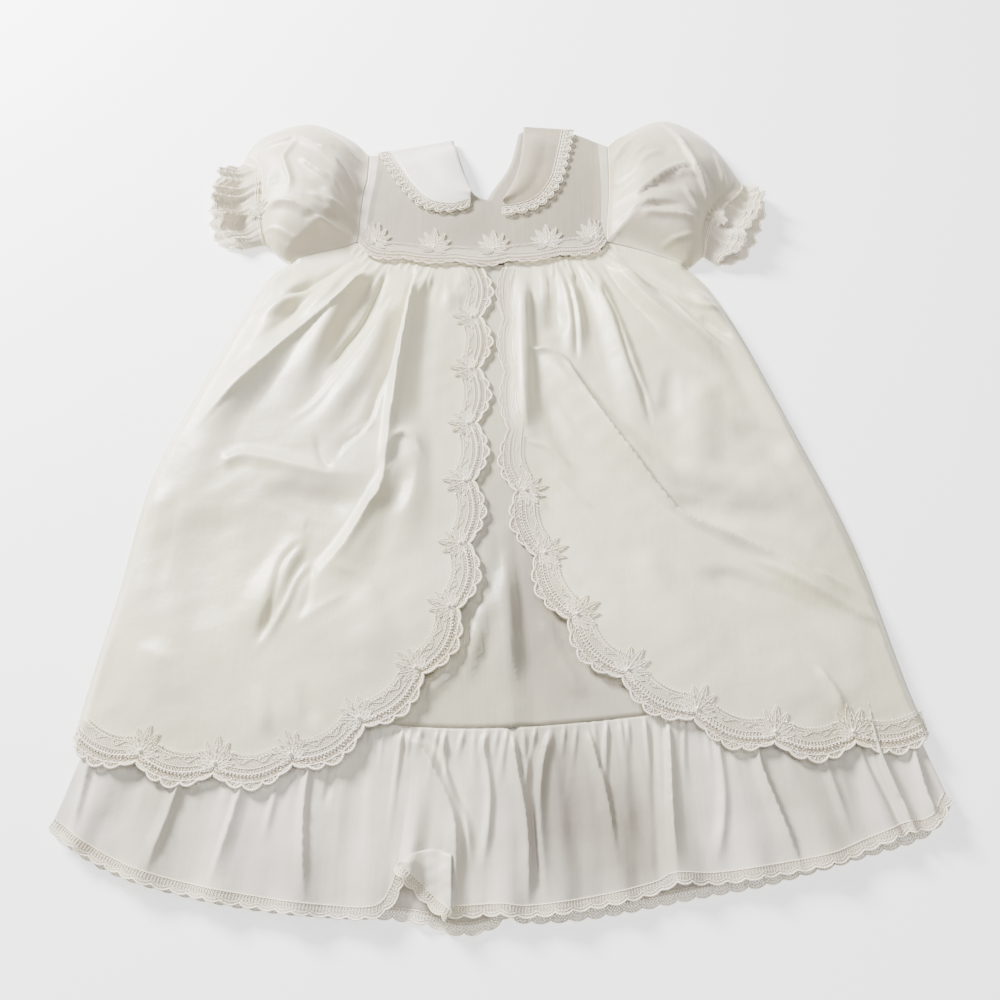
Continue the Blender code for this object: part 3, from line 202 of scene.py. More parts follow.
# Crisp creases: as many points as the line needs, then the same figures; the crest is sharp
CREASES = {
    "overskirt_left": [
        ((-104, 208), (-107, 188), (-122, 164), (-160, 123), (-198, 76), (-222, 48), 3.5, 7, 3.2, 0.5),
        ((-88, 200), (-104, 148), (-118, 123), (-130, 98), 3.5, 8, -4.0, -0.5),
        ((-104, 218), (-127, 198), (-154, 176), (-178, 160), 4, 8, -3.6, 0.3),
        ((-82, 172), (-96, 135), (-116, 102), (-135, 73), (-156, 54), 3, 7, 1.8, 0.0),
        ((-67, 202), (-71, 164), (-78, 117), (-88, 85), (-95, 57), (-111, 39), (-118, 21), 3, 8, -4.0, 0.5),
        ((-65, 202), (-69, 168), (-75, 109), (-79, 57), (-83, 5), (-90, -9), (-106, -40),
         (-124, -64), 3, 5.5, 4.4, -0.55),
        ((-196, 24), (-182, 31), (-163, 28), (-124, 18), (-88, 15), 10, 12, 2.8, -0.1),
        ((-80, 26), (-75, 42), (-68, 47), (-60, 41), (-52, 22), 6, 7, 2.6, -0.5),
        ((-132, 48), (-125, 28), (-117, 18), 4, 6, -2.4, 0.0),
        ((-110, 44), (-100, 52), (-88, 60), 4, 6, 2.0, 0.0),
        ((-39, 208), (-37, 194), (-38, 164), 2, 3, -4.0, 0.4),
        ((-54, 200), (-59, 188), (-66, 176), 2.5, 4, 2.6, 0.3),
        ((-50, 206), (-51, 196), (-53, 186), 2, 3, -2.6, 0.0),
        ((-30, 204), (-31, 192), (-31, 178), 2, 3, 2.2, 0.0),
        ((-133, -34), (-144, -50), (-146, -67), (-150, -94), (-156, -108), 5, 7, -2.6, 0.0),
        ((-127, -50), (-134, -64), (-138, -78), (-144, -92), (-158, -118), 4, 6, 2.4, 0.0),
        ((-125, -50), (-124, -62), (-126, -78), (-130, -92), 4, 6, -1.4, 0.0),
        ((-98, -70), (-117, -83), (-132, -95), 7, 10, 1.0, 0.0),
        ((-230, -108), (-202, -120), (-196, -152), 14, 16, 1.0, 0.2),
        ((-112, -52), (-90, -60), (-76, -78), 8, 10, 1.0, 0.0),
    ],
    "overskirt_right": [
        ((14, 212), (12, 174), (14, 117), (17, 64), (18, 50), 3, 4, 4.2, -0.7),
        ((24, 204), (25, 180), (26, 150), 2.5, 4, -1.8, 0.0),
        ((33, 206), (34, 192), (34, 176), 2, 3, 2.4, 0.0),
        ((47, 214), (53, 182), (57, 154), (58, 128), (58, 108), 3, 5, -4.6, 0.4),
        ((50, 212), (56, 184), (61, 150), (62, 124), 2.5, 4, 2.0, 0.0),
        ((22, 121), (38, 119), (49, 111), (57, 95), (80, 50), (110, 4), (124, -12), (143, -23),
         (176, -42), (204, -62), (226, -76), 4, 6, 5.2, 0.45),
        ((78, 178), (86, 156), (91, 135), (97, 107), (103, 85), (106, 70), (110, 46), 3, 5, -4.2, 0.0),
        ((54, 212), (58, 194), (60, 182), 2, 3, -3.4, 0.0),
        ((66, 212), (68, 202), (70, 192), 2, 3, 2.4, 0.0),
        ((79, 212), (92, 192), (103, 176), (114, 160), (126, 146), (140, 132), 3, 5, 3.6, 0.0),
        ((82, 202), (94, 178), (108, 158), (124, 136), 3, 5, -3.8, 0.0),
        ((90, 196), (113, 182), (131, 168), (148, 145), (161, 130), (175, 114), 3.5, 5, 4.2, 0.3),
        ((152, 152), (164, 140), (176, 128), 4, 5, -4.0, 0.0),
        ((116, 186), (140, 168), (156, 158), (174, 156), 3, 5, 2.8, 0.0),
        ((20, 44), (36, 36), (52, 21), 2.5, 3.5, 3.0, 0.0),
        ((17, 13), (27, -3), (32, -12), 2.5, 3, 2.6, 0.0),
        ((36, 20), (50, 2), (66, -12), 3, 4, 1.8, 0.0),
        ((166, -46), (200, -66), (218, -77), (236, -88), (248, -95), 6, 9, 3.0, -0.2),
        ((206, -56), (228, -68), (248, -82), 4, 6, 1.8, 0.0),
        ((198, -120), (207, -134), (213, -150), 4, 6, 2.8, 0.4),
        ((20, -22), (34, -44), (56, -70), 3, 6, 1.8, 0.0),
    ],
    "skirt_front": [
        ((-4, -20), (-9, -64), (-15, -100), (-19, -132), 3, 6, 2.6, 0.4),
        ((-28, -100), (-32, -118), (-38, -136), 3, 4, 2.2, 0.3),
        ((3, -16), (5, -76), (6, -138), (7, -184), 3, 6, 2.8, -0.3),
        ((25, -40), (24, -100), (23, -146), (23, -196), 6, 10, -2.4, 0.3),
        ((-30, -116), (-42, -132), (-56, -146), 4, 6, 2.2, 0.0),
        ((30, -104), (40, -124), (56, -142), 3, 5, 2.0, 0.0),
    ],
    "sleeve_left": [
        ((-203, 321), (-185, 322), (-168, 322), (-151, 311), (-131, 294), (-119, 278),
         (-112, 264), 5, 7, 6.0, 0.5),
        ((-168, 320), (-177, 299), (-173, 282), (-169, 270), (-170, 256), 4, 5, 3.6, -0.3),
        ((-165, 295), (-148, 280), (-133, 270), (-124, 254), 4, 5, 4.6, -0.3),
        ((-152, 257), (-135, 252), (-116, 249), 3, 4, 3.6, 0.0),
        ((-188, 252), (-172, 251), (-157, 245), (-142, 236), (-126, 230), (-116, 236), 4.5, 7, 5.2, 0.35),
        ((-155, 259), (-142, 252), (-129, 249), 3, 4, 3.4, 0.0),
        ((-144, 245), (-129, 242), (-115, 245), 3, 4, 3.2, 0.0),
        ((-193, 234), (-180, 231), (-166, 223), (-152, 218), 3, 5, 3.0, 0.2),
        ((-189, 230), (-176, 219), (-162, 213), 3, 4, 2.6, 0.0),
        ((-123, 228), (-139, 222), (-154, 219), 3, 5, 3.2, 0.0),
        ((-127, 234), (-142, 238), (-159, 236), 3, 5, -2.8, 0.0),
        ((-128, 288), (-140, 299), (-151, 312), 3, 4, 2.8, 0.0),
        ((-141, 316), (-128, 304), (-116, 292), 3, 5, -3.0, 0.0),
        ((-136, 322), (-124, 314), (-114, 308), 3, 4, 2.6, 0.0),
        ((-150, 338), (-134, 326), (-118, 316), 4, 6, 2.6, 0.3),
    ],
    "sleeve_right": [
        ((136, 352), (145, 331), (151, 310), (157, 286), (163, 270), (170, 246), 4, 6, 7.5, -0.65),
        ((108, 258), (127, 273), (143, 283), (158, 286), 4, 5, 3.8, -0.6),
        ((90, 300), (99, 319), (107, 330), (122, 342), 4, 5, 3.4, 0.0),
        ((92, 291), (105, 300), (116, 313), (122, 322), 3, 4, 3.0, 0.0),
        ((90, 288), (109, 291), (120, 300), (142, 309), 5, 7, 3.0, 0.15),
        ((90, 277), (102, 277), (114, 285), 3, 4, 3.0, 0.0),
        ((90, 262), (102, 263), (116, 261), 3, 4, 3.0, 0.0),
        ((90, 243), (101, 246), (117, 252), (124, 248), 3, 4, 3.6, 0.3),
        ((112, 242), (126, 240), (149, 237), (163, 233), 4, 5, 4.0, 0.4),
        ((91, 237), (99, 222), (108, 213), 3, 4, 3.2, 0.0),
        ((127, 217), (140, 220), (158, 225), 3, 4, 3.0, 0.0),
        ((146, 267), (154, 251), (164, 240), 3, 4, 4.0, 0.0),
        ((179, 311), (182, 294), (185, 273), 4, 5, 3.6, 0.0),
        ((141, 275), (149, 279), (160, 276), 3, 4, 3.0, 0.0),
        ((96, 311), (104, 316), (112, 326), 2, 3, -2.4, 0.0),
    ],
    "ruffle_front": [
        ((-246, -150), (-247, -184), (-248, -222), 5, 7, 3.8, 0.39),
        ((-186, -150), (-192, -198), (-203, -244), 4, 7, 4.2, 0.39),
        ((-150, -150), (-155, -195), (-166, -250), 4, 7, 4.2, -0.39),
        ((-128, -156), (-133, -190), (-138, -226), 3, 5, 2.5, 0.0),
        ((-112, -156), (-115, -203), (-109, -259), 3, 6, 5.0, 0.39),
        ((-99, -158), (-101, -180), (-104, -206), 2.5, 4, -3.1, 0.0),
        ((-64, -156), (-49, -167), (-37, -186), (-30, -200), (-26, -213),
         (-25, -230), (-26, -262), 8, 9, 5.8, 0.35),
        ((-56, -158), (-42, -166), (-30, -184), (-22, -208), (-20, -234), (-20, -262), 5, 6, -2.8, 0.0),
        ((-35, -158), (-32, -184), (-20, -212), (-17, -240), 3, 5, 4.2, 0.0),
        ((-12, -158), (-6, -196), (-10, -240), 3, 5, 3.8, 0.0),
        ((8, -156), (10, -176), (16, -210), (17, -234), (16, -262), 4.5, 6, 5.2, 0.4),
        ((19, -158), (20, -210), (22, -262), 5, 6, -3.0, 0.0),
        ((30, -157), (24, -186), (23, -218), (28, -260), 4.5, 6, 4.6, -0.4),
        ((54, -155), (59, -178), (64, -199), (68, -238), 4, 6, 3.8, 0.45),
        ((103, -146), (102, -176), (100, -210), (100, -252), 4, 7, 5.8, -0.45),
        ((94, -146), (92, -197), (92, -252), 4, 6, -2.6, 0.0),
        ((131, -144), (133, -196), (124, -238), 4, 7, 3.0, 0.0),
        ((157, -140), (157, -176), (165, -206), (176, -244), 4, 6, 5.0, 0.5),
        ((190, -136), (196, -176), (206, -222), 3, 6, 2.8, 0.0),
        ((226, -122), (228, -167), (236, -200), (244, -226), 3.5, 4.5, 6.5, -0.55),
        ((220, -122), (222, -170), (230, -200), (237, -226), 3, 4, -4.0, 0.0),
        ((251, -160), (252, -190), (256, -214), 3.5, 4.5, 4.0, 0.55),
    ],
}

# Painted shade: places where a cloth's colour is darkened to stand for the shade in its hollows and folds:
# middle, half widths, amount
PAINTED_SHADE = {
    "overskirt_left": [
        ((-134, 0), (52, 17), 0.46), ((-66, 4), (14, 26), 0.25), ((-200, -44), (28, 66), 0.16),
        ((-140, -62), (9, 28), 0.2),
    ],
    "overskirt_right": [
        ((20, 0), (12, 60), 0.3), ((34, 150), (16, 24), 0.2), ((190, -10), (40, 12), 0.14),
        ((186, -84), (40, 14), 0.16),
    ],
    "skirt_front": [((28, -72), (18, 84), 0.8), ((-2, -50), (14, 70), 0.4), ((60, -140), (26, 16), 0.4)],
    "ruffle_front": [
        ((34, -206), (30, 60), 0.85), ((80, -218), (26, 46), 0.75), ((-204, -196), (28, 54), 0.4),
        ((-118, -240), (22, 16), 0.35), ((190, -190), (40, 44), 0.45), ((-30, -236), (10, 18), 0.4),
    ],
    "bodice_front": [((-22, 240), (20, 16), 0.45), ((56, 280), (24, 46), 0.42)],
    "sleeve_right": [
        ((138, 268), (26, 17), 0.42), ((116, 316), (22, 24), 0.35), ((172, 290), (14, 30), 0.3),
        ((120, 234), (26, 10), 0.2),
    ],
    "sleeve_left": [((-184, 286), (8, 14), 0.3), ((-140, 243), (24, 6), 0.25)],
    "collar_right": [((14, 315), (12, 30), 0.35)],
}

SLEEVE_TOP = {
    "left": [(-111.5, 322), (-130, 342), (-166, 357), (-203, 343), (-215, 327), (-219, 312)],
    "right": [(92.5, 333), (106, 346), (141, 362), (172, 345), (190, 318), (203, 290)],
}
SLEEVE_LOW = {
    "left": [(-167, 207.5), (-178, 215), (-185, 222), (-190, 226)],
    "right": [(150, 201.5), (155, 206), (159, 210), (163, 214)],
}
SLEEVE_END = {
    "left": [(-219, 312), (-206, 302), (-199, 284), (-197, 258), (-194, 240), (-190, 226)],
    "right": [(203, 290), (197, 275), (183, 259), (171, 243), (165, 228), (163, 214)],
}
CUFF_EDGE = {
    "left": [(-225, 308), (-236, 299), (-238, 282), (-237, 262), (-233, 242), (-225, 228), (-206, 222)],
    "right": [(207, 288), (218, 268), (213, 250), (205, 230), (192, 211), (172, 206)],
}
SLEEVE_HEIGHT = {"armhole": 11.0, "puff": 18.0, "cuff": 15.0}
SLEEVE_PUFF_END = 0.926
SLEEVE_MID = 3.2
CUFF_HEIGHT = 19.0
CUFF_DIP = 5.0
ARM_CORNER_Y = 226.0
CUFF_LEAF = {"left": ((-201, 254), 1.45), "right": ((179, 246), -1.75)}

NECK = [
    (-40, 338), (-36, 322), (-30, 298), (-22, 275), (-10, 268), (2, 265), (12, 286), (18, 320), (20.5, 354),
]
SHOULDER = {
    "left": [(-111.5, 322), (-94, 325), (-76, 329), (-40, 338)],
    "right": [(20.5, 354), (60, 350), (92.5, 333)],
}
BODICE_WAIST_Z = 5.0
BODICE_CROWN = 2.5
BODICE_SHOULDER_Z = 2.75
SHOULDER_SLOPE = 24.0
SEAM_BAND = 8.5
SEAM_BAND_Z = 0.45
BODICE_WIDTH = 200.0
BACK_EDGE = {
    "left": [(-42, 337.5), (-31, 292), (-17, 262), (-14, 206)],
    "right": [(17, 354), (8, 312), (-9, 279), (-12, 262), (-12, 206)],
}
COLLAR = {
    "left": {
        "neck": [(-23.5, 276), (-31, 300), (-40, 338.4)],
        "outer": [(-24, 267), (-40, 262), (-58, 266), (-72, 282), (-82, 299), (-94, 325.4)],
        "back_neck": [(-40, 338.4), (-39, 322), (-36, 306)],
        "back_outer": [(-94, 325.4), (-85, 303), (-68, 289), (-38, 296)],
        "normal": (-0.23, 0.97),
    },
    "right": {
        "neck": [(3, 267), (12, 288), (18, 316), (20.5, 354.6)],
        "outer": [(2, 260), (14, 261), (30, 269), (42, 288), (48, 312), (55, 351.6)],
        "back_neck": [(20.5, 354.6), (20, 336), (17, 318)],
        "back_outer": [(55, 351.6), (50, 326), (38, 306), (19, 308)],
        "normal": (0.03, 1.0),
    },
}
COLLAR_LIFT = 0.9
COLLAR_CROWN = 4.0
COLLAR_LACE = 11.0
COLLAR_BEHIND_Z = 0.2
WRAP_Z = 2.8
WRAP_RADIUS = 1.8
COLLAR_ROWS = (48, 8, 14)
COLLAR_COLUMNS = 16

# Steps of the cloths' grids, across and along, and for the overskirt the lines of its edge's strip
OVER_GRID = (130, 190, 14)
BACK_GRID = (60, 40)
SKIRT_GRID = (110, 90)
RUFFLE_GRID = {"front": (560, 60), "back": (200, 16)}
BODICE_GRID = (100, 70)
BODICE_BACK_GRID = (24, 40)
TURNED_GRID = (30, 14)
SLEEVE_GRID = (100, 70)
CUFF_ROWS = 18

SIGN = {"left": 1, "right": -1}
SEED = {
    "overskirt_left": 11, "overskirt_right": 12, "lace": 31, "skirt_gather": 42, "ruffle_front": 51,
    "ruffle_back": 52, "sleeve_left": 81, "sleeve_right": 82, "cuff_left": 91, "cuff_right": 92, "waist": 101,
}
# Low uneven waves of the cloths: seed, size, height
RIPPLES = {
    "broad": (21, 70, 0.8), "fine": (22, 24, 0.16), "back": (41, 30, 0.1), "skirt": (43, 40, 0.25),
    "ruffle": (53, 22, 0.3), "turned": (54, 9, 0.4), "bodice": (61, 46, 0.35), "bodice_back": (62, 30, 0.06),
    "collar": (71, 34, 0.5), "sleeve": (83, 30, 0.7),
}

# Front overskirts: runs from the waist or an edge over which they are pressed flat, puff out and wave
PRESSED_FROM = 10
PRESSED_RUN = 28
EDGE_PUFF_RUN = 34
WAIST_PUFF_RUN = 40
WAVE_RUN = 60
GATHER_ZONE = 75

# Underskirt: how far it goes up under the bodice and lifts there, and its rise onto the ruffle
SKIRT_UP = 2.5
SKIRT_LIFT = 1.0
SKIRT_LIFT_RUN = 16
SKIRT_RISE_RUN = 45

# Ruffle: number and height of its gathers, and the corner that is turned up
RUFFLE_COUNT = {"front": 62, "back": 40}
RUFFLE_GATHER = {"front": 1.15, "back": 0.4}
TURNED_LOW = [(-58, -233.5), (-48, -243), (-37, -253), (-27, -260)]
TURNED_TOP = [(-56.5, -231.5), (-48, -228), (-38, -226), (-28, -229)]

# Gathers under the waist: spacing, longest reach, width, height; and the x where an overskirt's begin
OVER_GATHERS = (4.6, 58, 2.0, 2.9)
SKIRT_GATHERS = (5, 60, 2.0, 1.2)
GATHER_FROM = {"left": -18, "right": 16}
# Gathers of a sleeve at its armhole and its cuff: count, reach, height
SLEEVE_GATHERS = ((30, 0.34, 3.0), (24, 0.3, 2.6))

# Wide lace: its scallops, its upper line and its cords as offset and radius
SCALLOP_FOOT = 1.4
SCALLOP_BOW = 6.6
LACE_INNER = 11.5
LACE_INNER_BOW = 5.5
LACE_CORDS = ((0.2, 0.36), (5.0, 0.42), (8.2, 0.26))
LACE_END = 5.0
LACE_SEQUINS = 44
OUTER_NET = 0.42

# Small lobes of a scallop: start, end and height
SUB_LOBES = [(0.0, 0.18, 1.3), (0.18, 0.38, 3.1), (0.38, 0.62, 4.2), (0.62, 0.82, 3.1), (0.82, 1.0, 1.3)]

# Leaf: its lobes' turn, length, width and lift, and the share of the width that they keep
LOBE_SLIM = 0.74
LOBES = [
    (1.95, 8.5, 4.6, 0.1), (-1.95, 8.5, 4.6, 0.1), (1.45, 11.5, 5.2, 0.15), (-1.45, 11.5, 5.2, 0.15),
    (0.98, 13.8, 5.6, 0.2), (-0.98, 13.8, 5.6, 0.2), (0.5, 15.4, 6.0, 0.25), (-0.5, 15.4, 6.0, 0.25),
    (0.0, 17.2, 6.6, 0.3),
]

# Threads' and beads' radii and distances, a bead's rings, and the run of the sprigs along the lace
BEAD_RINGS = [(0.05, 1.0), (0.8, 0.6), (1.0, 0.0), (0.8, -0.6)]
LEAF_THREADS = {"rim": 0.28, "midrib": 0.22, "vein": 0.2}
LACE_THREADS = {"edge": 0.72, "inner": 0.3, "bar": 0.2, "sprig": 0.26, "rib": 0.22, "bow": 0.45}
BACK_LACE_THREADS = {"edge": 0.5, "inner": 0.3}
LACE_BEADS = {"row": 0.6, "inner": 0.62, "sprig": 0.55, "cusp": 1.3, "leaf": 0.55}
BAR_PITCH = 2.0
BEAD_PITCH = 2.2
SPRIG_LOW = 0.32
SPRIG_RUN = 0.3
LEAF_MARGIN = 6
LEAF_BEADS = 9

# Hem lace
HEM_LOOP = 10.5
HEM_LOOP_DEPTH = 1.9
HEM_LACE_DEPTH = 3.2
HEM_LACE_FOOT = -1.4
HEM_THREADS = {"edge": 0.45, "inner": 0.25, "foot": 0.3, "stitch": 0.24}
HEM_STITCH = 1.9

# Collar lace, its small loops as place, depth, half sizes, radius and sides
COLLAR_LOOP = 9.0
COLLAR_LOOP_DEPTH = 3.2
COLLAR_LACE_DEPTH = 6.4
COLLAR_THREADS = {"edge": 0.5, "foot": 0.35, "wave": 0.38}
COLLAR_LOOPS = (
    (0.0, 5.6, 2.3, 2.4, 0.42, 4), (-0.36, 3.4, 0.8, 1.0, 0.3, 3), (0.36, 3.4, 0.8, 1.0, 0.3, 3),
)

# Cuff: its loops, and its cords as row and radius
CUFF_LOOP = 4.5
CUFF_LOOP_DEPTH = 1.8
CUFF_FLOOR = 0.5
CUFF_CORDS = ((-1, 0.55), (-4, 0.4), (-7, 0.4), (0, 0.7), (1, 0.5))

# Waist lace: its cords as offset and radius, the x of its leaves, and its lines
WAIST_THREADS = {"edge": 0.7, "top": 0.3}
WAIST_BEADS = {"row": 0.58, "inner": 0.55, "leaf": 0.9}
WAIST_CORDS = ((0.3, 0.32), (4.6, 0.4), (7.6, 0.26))
WAIST_MOTIFS = [-101, -53, -5, 38, 75]
WAIST_SCALLOPS = 5
WAIST_LACE_UP = 7.5
WAIST_LACE_TOP = 6.5
WAIST_LACE_LOW = -8.0
WAIST_LACE_BOW = 2.4
WAIST_LACE_HANG = 8.3

# Finishes: the painted shade's dark colour, how much cooler the satin drifts, and sizes in millimetres
PAINTED_SHADE_COLOUR = (0.22, 0.19, 0.145)
COOLER = (0.985, 0.972, 1.09)
RUMPLE = 1.0
THREAD_TWIST = 0.8

# Light and camera, in metres and watts
FLOOR_SIZE = 4.0
FLOOR_DROP = 0.0004
FLOOR_COLOUR = (0.91, 0.925, 0.95, 1)
FLOOR_GLOW = 1.2
LIGHTS = {
    "key": ((-1.15, 1.0, 0.8), 0.5, 140, (1, 0.98, 0.945)),
    "top": ((0.3, 0.2, 1.9), 1.2, 18, (1, 1, 1)),
}
WORLD = ((1, 0.99, 0.965, 1), 0.46)
CAMERA_FAR = 0.594
CAMERA_TILT = 65
CAMERA_LENS = 30.6

# The further pieces of cloth, lace and trim that go with some nodes
EXTRAS = {}


# Numbers and plane lines

def smoothstep(value):
    value = np.clip(value, 0, 1)
    return value * value * (3 - 2 * value)


def curve(points, steps=16):
    """A smooth plane line through the points, as dense points."""
    points = np.array(points, float)
    ends = np.vstack([2 * points[0] - points[1], points, 2 * points[-1] - points[-2]])
    t = np.arange(steps)[:, None] / steps
    parts = [
        0.5 * (2 * q + (r - p) * t + (2 * p - 5 * q + 4 * r - s) * t ** 2 + (3 * q - p - 3 * r + s) * t ** 3)
        for p, q, r, s in zip(ends, ends[1:], ends[2:], ends[3:])
    ]
    return np.vstack(parts + [points[-1:]])


def run_of(line):
    return np.concatenate([[0], np.cumsum(np.linalg.norm(np.diff(line, axis=0), axis=1))])


def at(line, stops, values=None):
    """The line's points, or other values that go with them, at lengths along it."""
    run = run_of(line)
    values = line if values is None else values
    return np.stack([np.interp(stops, run, values[:, k]) for k in range(values.shape[1])], -1)


def spread(line, count, shares=None):
    shares = np.linspace(0, 1, count + 1) if shares is None else shares
    return at(line, run_of(line)[-1] * shares)


def straight(start, end, count):
    return spread(np.array([start, end]), count)


def whole_waist():
    """The seam under the left arm, along the waist and under the right arm."""
    return np.vstack([curve(ARM_UNDER["left"])[::-1], curve(WAIST)[1:], curve(ARM_UNDER["right"])[1:]])


def at_x(line, x):
    order = np.argsort(line[:, 0], kind="stable")
    x = np.asarray(x, float)
    return np.stack([x, np.interp(x, line[order, 0], line[order, 1])], -1)


def sideways(line):
    """Unit vectors to the left of a plane line."""
    run = np.gradient(line, axis=0)
    run /= np.linalg.norm(run, axis=1)[:, None] + 1e-9
    return np.stack([-run[:, 1], run[:, 0]], -1)


def nearest(points, line):
    """Distance from a plane line, share of the way along it and side, over 0 on its left."""
    gap = np.full(points.shape[:-1], 1e9)
    share, side = np.zeros_like(gap), np.zeros_like(gap)
    for k, (a, b) in enumerate(zip(line, line[1:])):
        d = b - a
        if d @ d == 0:
            continue
        p = points - a
        along = np.clip((p @ d) / (d @ d), 0, 1)
        here = np.hypot(p[..., 0] - along * d[0], p[..., 1] - along * d[1])
        closer = here < gap
        gap = np.where(closer, here, gap)
        share = np.where(closer, (k + along) / (len(line) - 1), share)
        side = np.where(closer, d[0] * p[..., 1] - d[1] * p[..., 0], side)
    return gap, share, side


def patch(bottom, top, left, right, u=None, v=None):
    """A grid of plane points that fills the room between four lines."""
    u = (np.linspace(0, 1, len(bottom)) if u is None else u)[None, :, None]
    v = (np.linspace(0, 1, len(left)) if v is None else v)[:, None, None]
    across = left[:, None] * (1 - u) + right[:, None] * u
    along = bottom[None] * (1 - v) + top[None] * v
    corners = (bottom[0] * (1 - u) + bottom[-1] * u) * (1 - v) + (top[0] * (1 - u) + top[-1] * u) * v
    return across + along - corners


# Cloth heights

def bell(gap, half):
    return np.where(gap < half, 0.5 * (1 + np.cos(np.pi * np.minimum(gap / half, 1))), 0.0)


def crest(gap, half):
    """A profile with a narrow top and soft feet."""
    return np.maximum(1 - np.hypot(gap, 0.7) / half, 0) ** 1.7


def fold_height(table, points, rise=None, profile=bell, fade=0.4):
    """Sum of the ridges and troughs in a table, at plane points; each rises over a share or a length."""
    total = np.zeros(points.shape[:-1])
    for *line, narrow, wide, height, lean in table:
        line = curve(line, 5)
        reach = max(narrow, wide) * (1 + abs(lean))
        near = np.all((points > line.min(0) - reach) & (points < line.max(0) + reach), -1)
        if not near.any():
            continue
        gap, share, side = nearest(points[near], line)
        half = (narrow + (wide - narrow) * share) * np.where(side > 0, 1 - lean, 1 + lean)
        begin = (share + 0.12) / 0.35 if rise is None else (share * run_of(line)[-1] + 1) / rise
        total[near] += height * smoothstep(begin) * smoothstep((1 - share) / fade) * profile(gap, half)
    return total


def all_folds(name, points):
    """Every fold, swell and crease of a cloth."""
    soft = fold_height(FOLDS.get(name, ()), points) + fold_height(SWELLS[name], points, 22)
    return soft + fold_height(CREASES[name], points, 10, crest, 0.3)


def soft_floor(z, low, soft=0.7):
    """The heights, eased so that none goes under a floor."""
    return low + soft * np.logaddexp(0, (z - low) / soft)


def ripple(points, name):
    """A cloth's uneven low waves at plane points."""
    seed, size, height = RIPPLES[name]
    rng = np.random.default_rng(seed)
    total = np.zeros(points.shape[:-1])
    for _ in range(8):
        turn, phase = rng.uniform(0, 2 * math.pi, 2)
        wave = 2 * math.pi / (size * rng.uniform(0.7, 1.6))
        total += np.sin((points[..., 0] * math.cos(turn) + points[..., 1] * math.sin(turn)) * wave + phase)
    return height * total / 4


def height_on(grid, z, plan):
    """Height of a cloth over plane points, from the nearest points of its grid."""
    flat, high, shape = grid.reshape(-1, 2), z.ravel(), plan.shape[:-1]
    out = []
    for part in np.array_split(plan.reshape(-1, 2), max(1, plan.size // 600)):
        gap = ((part[:, None] - flat[None]) ** 2).sum(-1)
        near = np.argpartition(gap, 4, axis=1)[:, :4]
        weight = 1 / (np.take_along_axis(gap, near, 1) + 0.05)
        out.append((high[near] * weight).sum(1) / weight.sum(1))
    return np.concatenate(out).reshape(shape)


def gather_rows(line, seed, sizes, heading):
    """Short folds that start on a line at uneven spacing, each towards what heading gives."""
    pitch, reach, width, height = sizes
    rng = np.random.default_rng(seed)
    total = run_of(line)[-1]
    rows, stop = [], pitch * 0.4
    while stop < total:
        x, y = at(line, np.array([stop]))[0]
        hx, hy = heading(x)
        size = rng.uniform(0.25, 1) ** 1.5 * reach
        hx += rng.normal(0, 0.06)
        end = (x + hx * size, y + hy * size)
        middle = (x + hx * size / 2 + rng.normal(0, 0.8), y + hy * size / 2)
        width_and_painted_shade = width * rng.uniform(0.75, 1.3)
        tall, lean = height * rng.uniform(0.5, 1.2), rng.uniform(-0.4, 0.4)
        rows.append(((x, y), middle, end, width_and_painted_shade, width_and_painted_shade * (1.4 + size / 40), tall, lean))
        stop += pitch * rng.uniform(0.6, 1.5)
    return rows


# Meshes

def placed(points):
    return (np.asarray(points, float) - MIDDLE) * MM


def grid_faces(index):
    return np.stack([index[:-1, :-1], index[:-1, 1:], index[1:, 1:], index[1:, :-1]], -1).reshape(-1, 4)


def quads(rows, columns, closed=False):
    """Faces of a grid of points, given row by row; a closed one joins its last column to its first."""
    index = np.arange(rows * columns).reshape(rows, columns)
    return grid_faces(np.hstack([index, index[:, :1]]) if closed else index)


def raised(plan, z):
    """Plane points at their heights."""
    return np.concatenate([plan, z[..., None]], -1)


def painted_shade_at(node, plan):
    """How much painted shade darkens a cloth's colour at plane points, 0 to 1."""
    total = np.zeros(len(plan))
    for (x, y), (wide, tall), amount in PAINTED_SHADE.get(node, ()):
        total += amount * np.exp(-((plan[:, 0] - x) / wide) ** 2 - ((plan[:, 1] - y) / tall) ** 2)
    return np.minimum(total, 1)


def add_mesh(name, points, faces, uv, material, node, shell=0.0):
    """A mesh that rides on the gown and stands for a CAD node, with an inner skin where shell is given."""
    mesh = bpy.data.meshes.new(name)
    faces = np.asarray(faces)
    mesh.vertices.add(len(points))
    mesh.vertices.foreach_set("co", placed(points).ravel())
    mesh.loops.add(faces.size)
    mesh.loops.foreach_set("vertex_index", faces.ravel())
    mesh.polygons.add(len(faces))
    mesh.polygons.foreach_set("loop_start", np.arange(0, faces.size, 4))
    mesh.update(calc_edges=True)
    mesh.validate()
    mesh.materials.append(material)
    layer = mesh.uv_layers.new(name="UVMap")
    corners = np.zeros(len(mesh.loops), np.int32)
    mesh.loops.foreach_get("vertex_index", corners)
    layer.data.foreach_set("uv", (np.asarray(uv, float)[corners] * MM).ravel())
    # Painted shade: each point's amount of darkening is stored on the mesh as an attribute
    width_and_painted_shade = mesh.attributes.new("width_and_painted_shade", "FLOAT", "POINT")
    width_and_painted_shade.data.foreach_set("value", painted_shade_at(node, points[:, :2]))
    mesh.shade_smooth()
    made = bpy.data.objects.new(name, mesh)
    bpy.context.collection.objects.link(made)
    if shell:
        skin = made.modifiers.new("skin", "SOLIDIFY")
        skin.thickness = shell * MM
        skin.offset = -1
    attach(made, "root")
    if node:
        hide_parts(node)
    return made


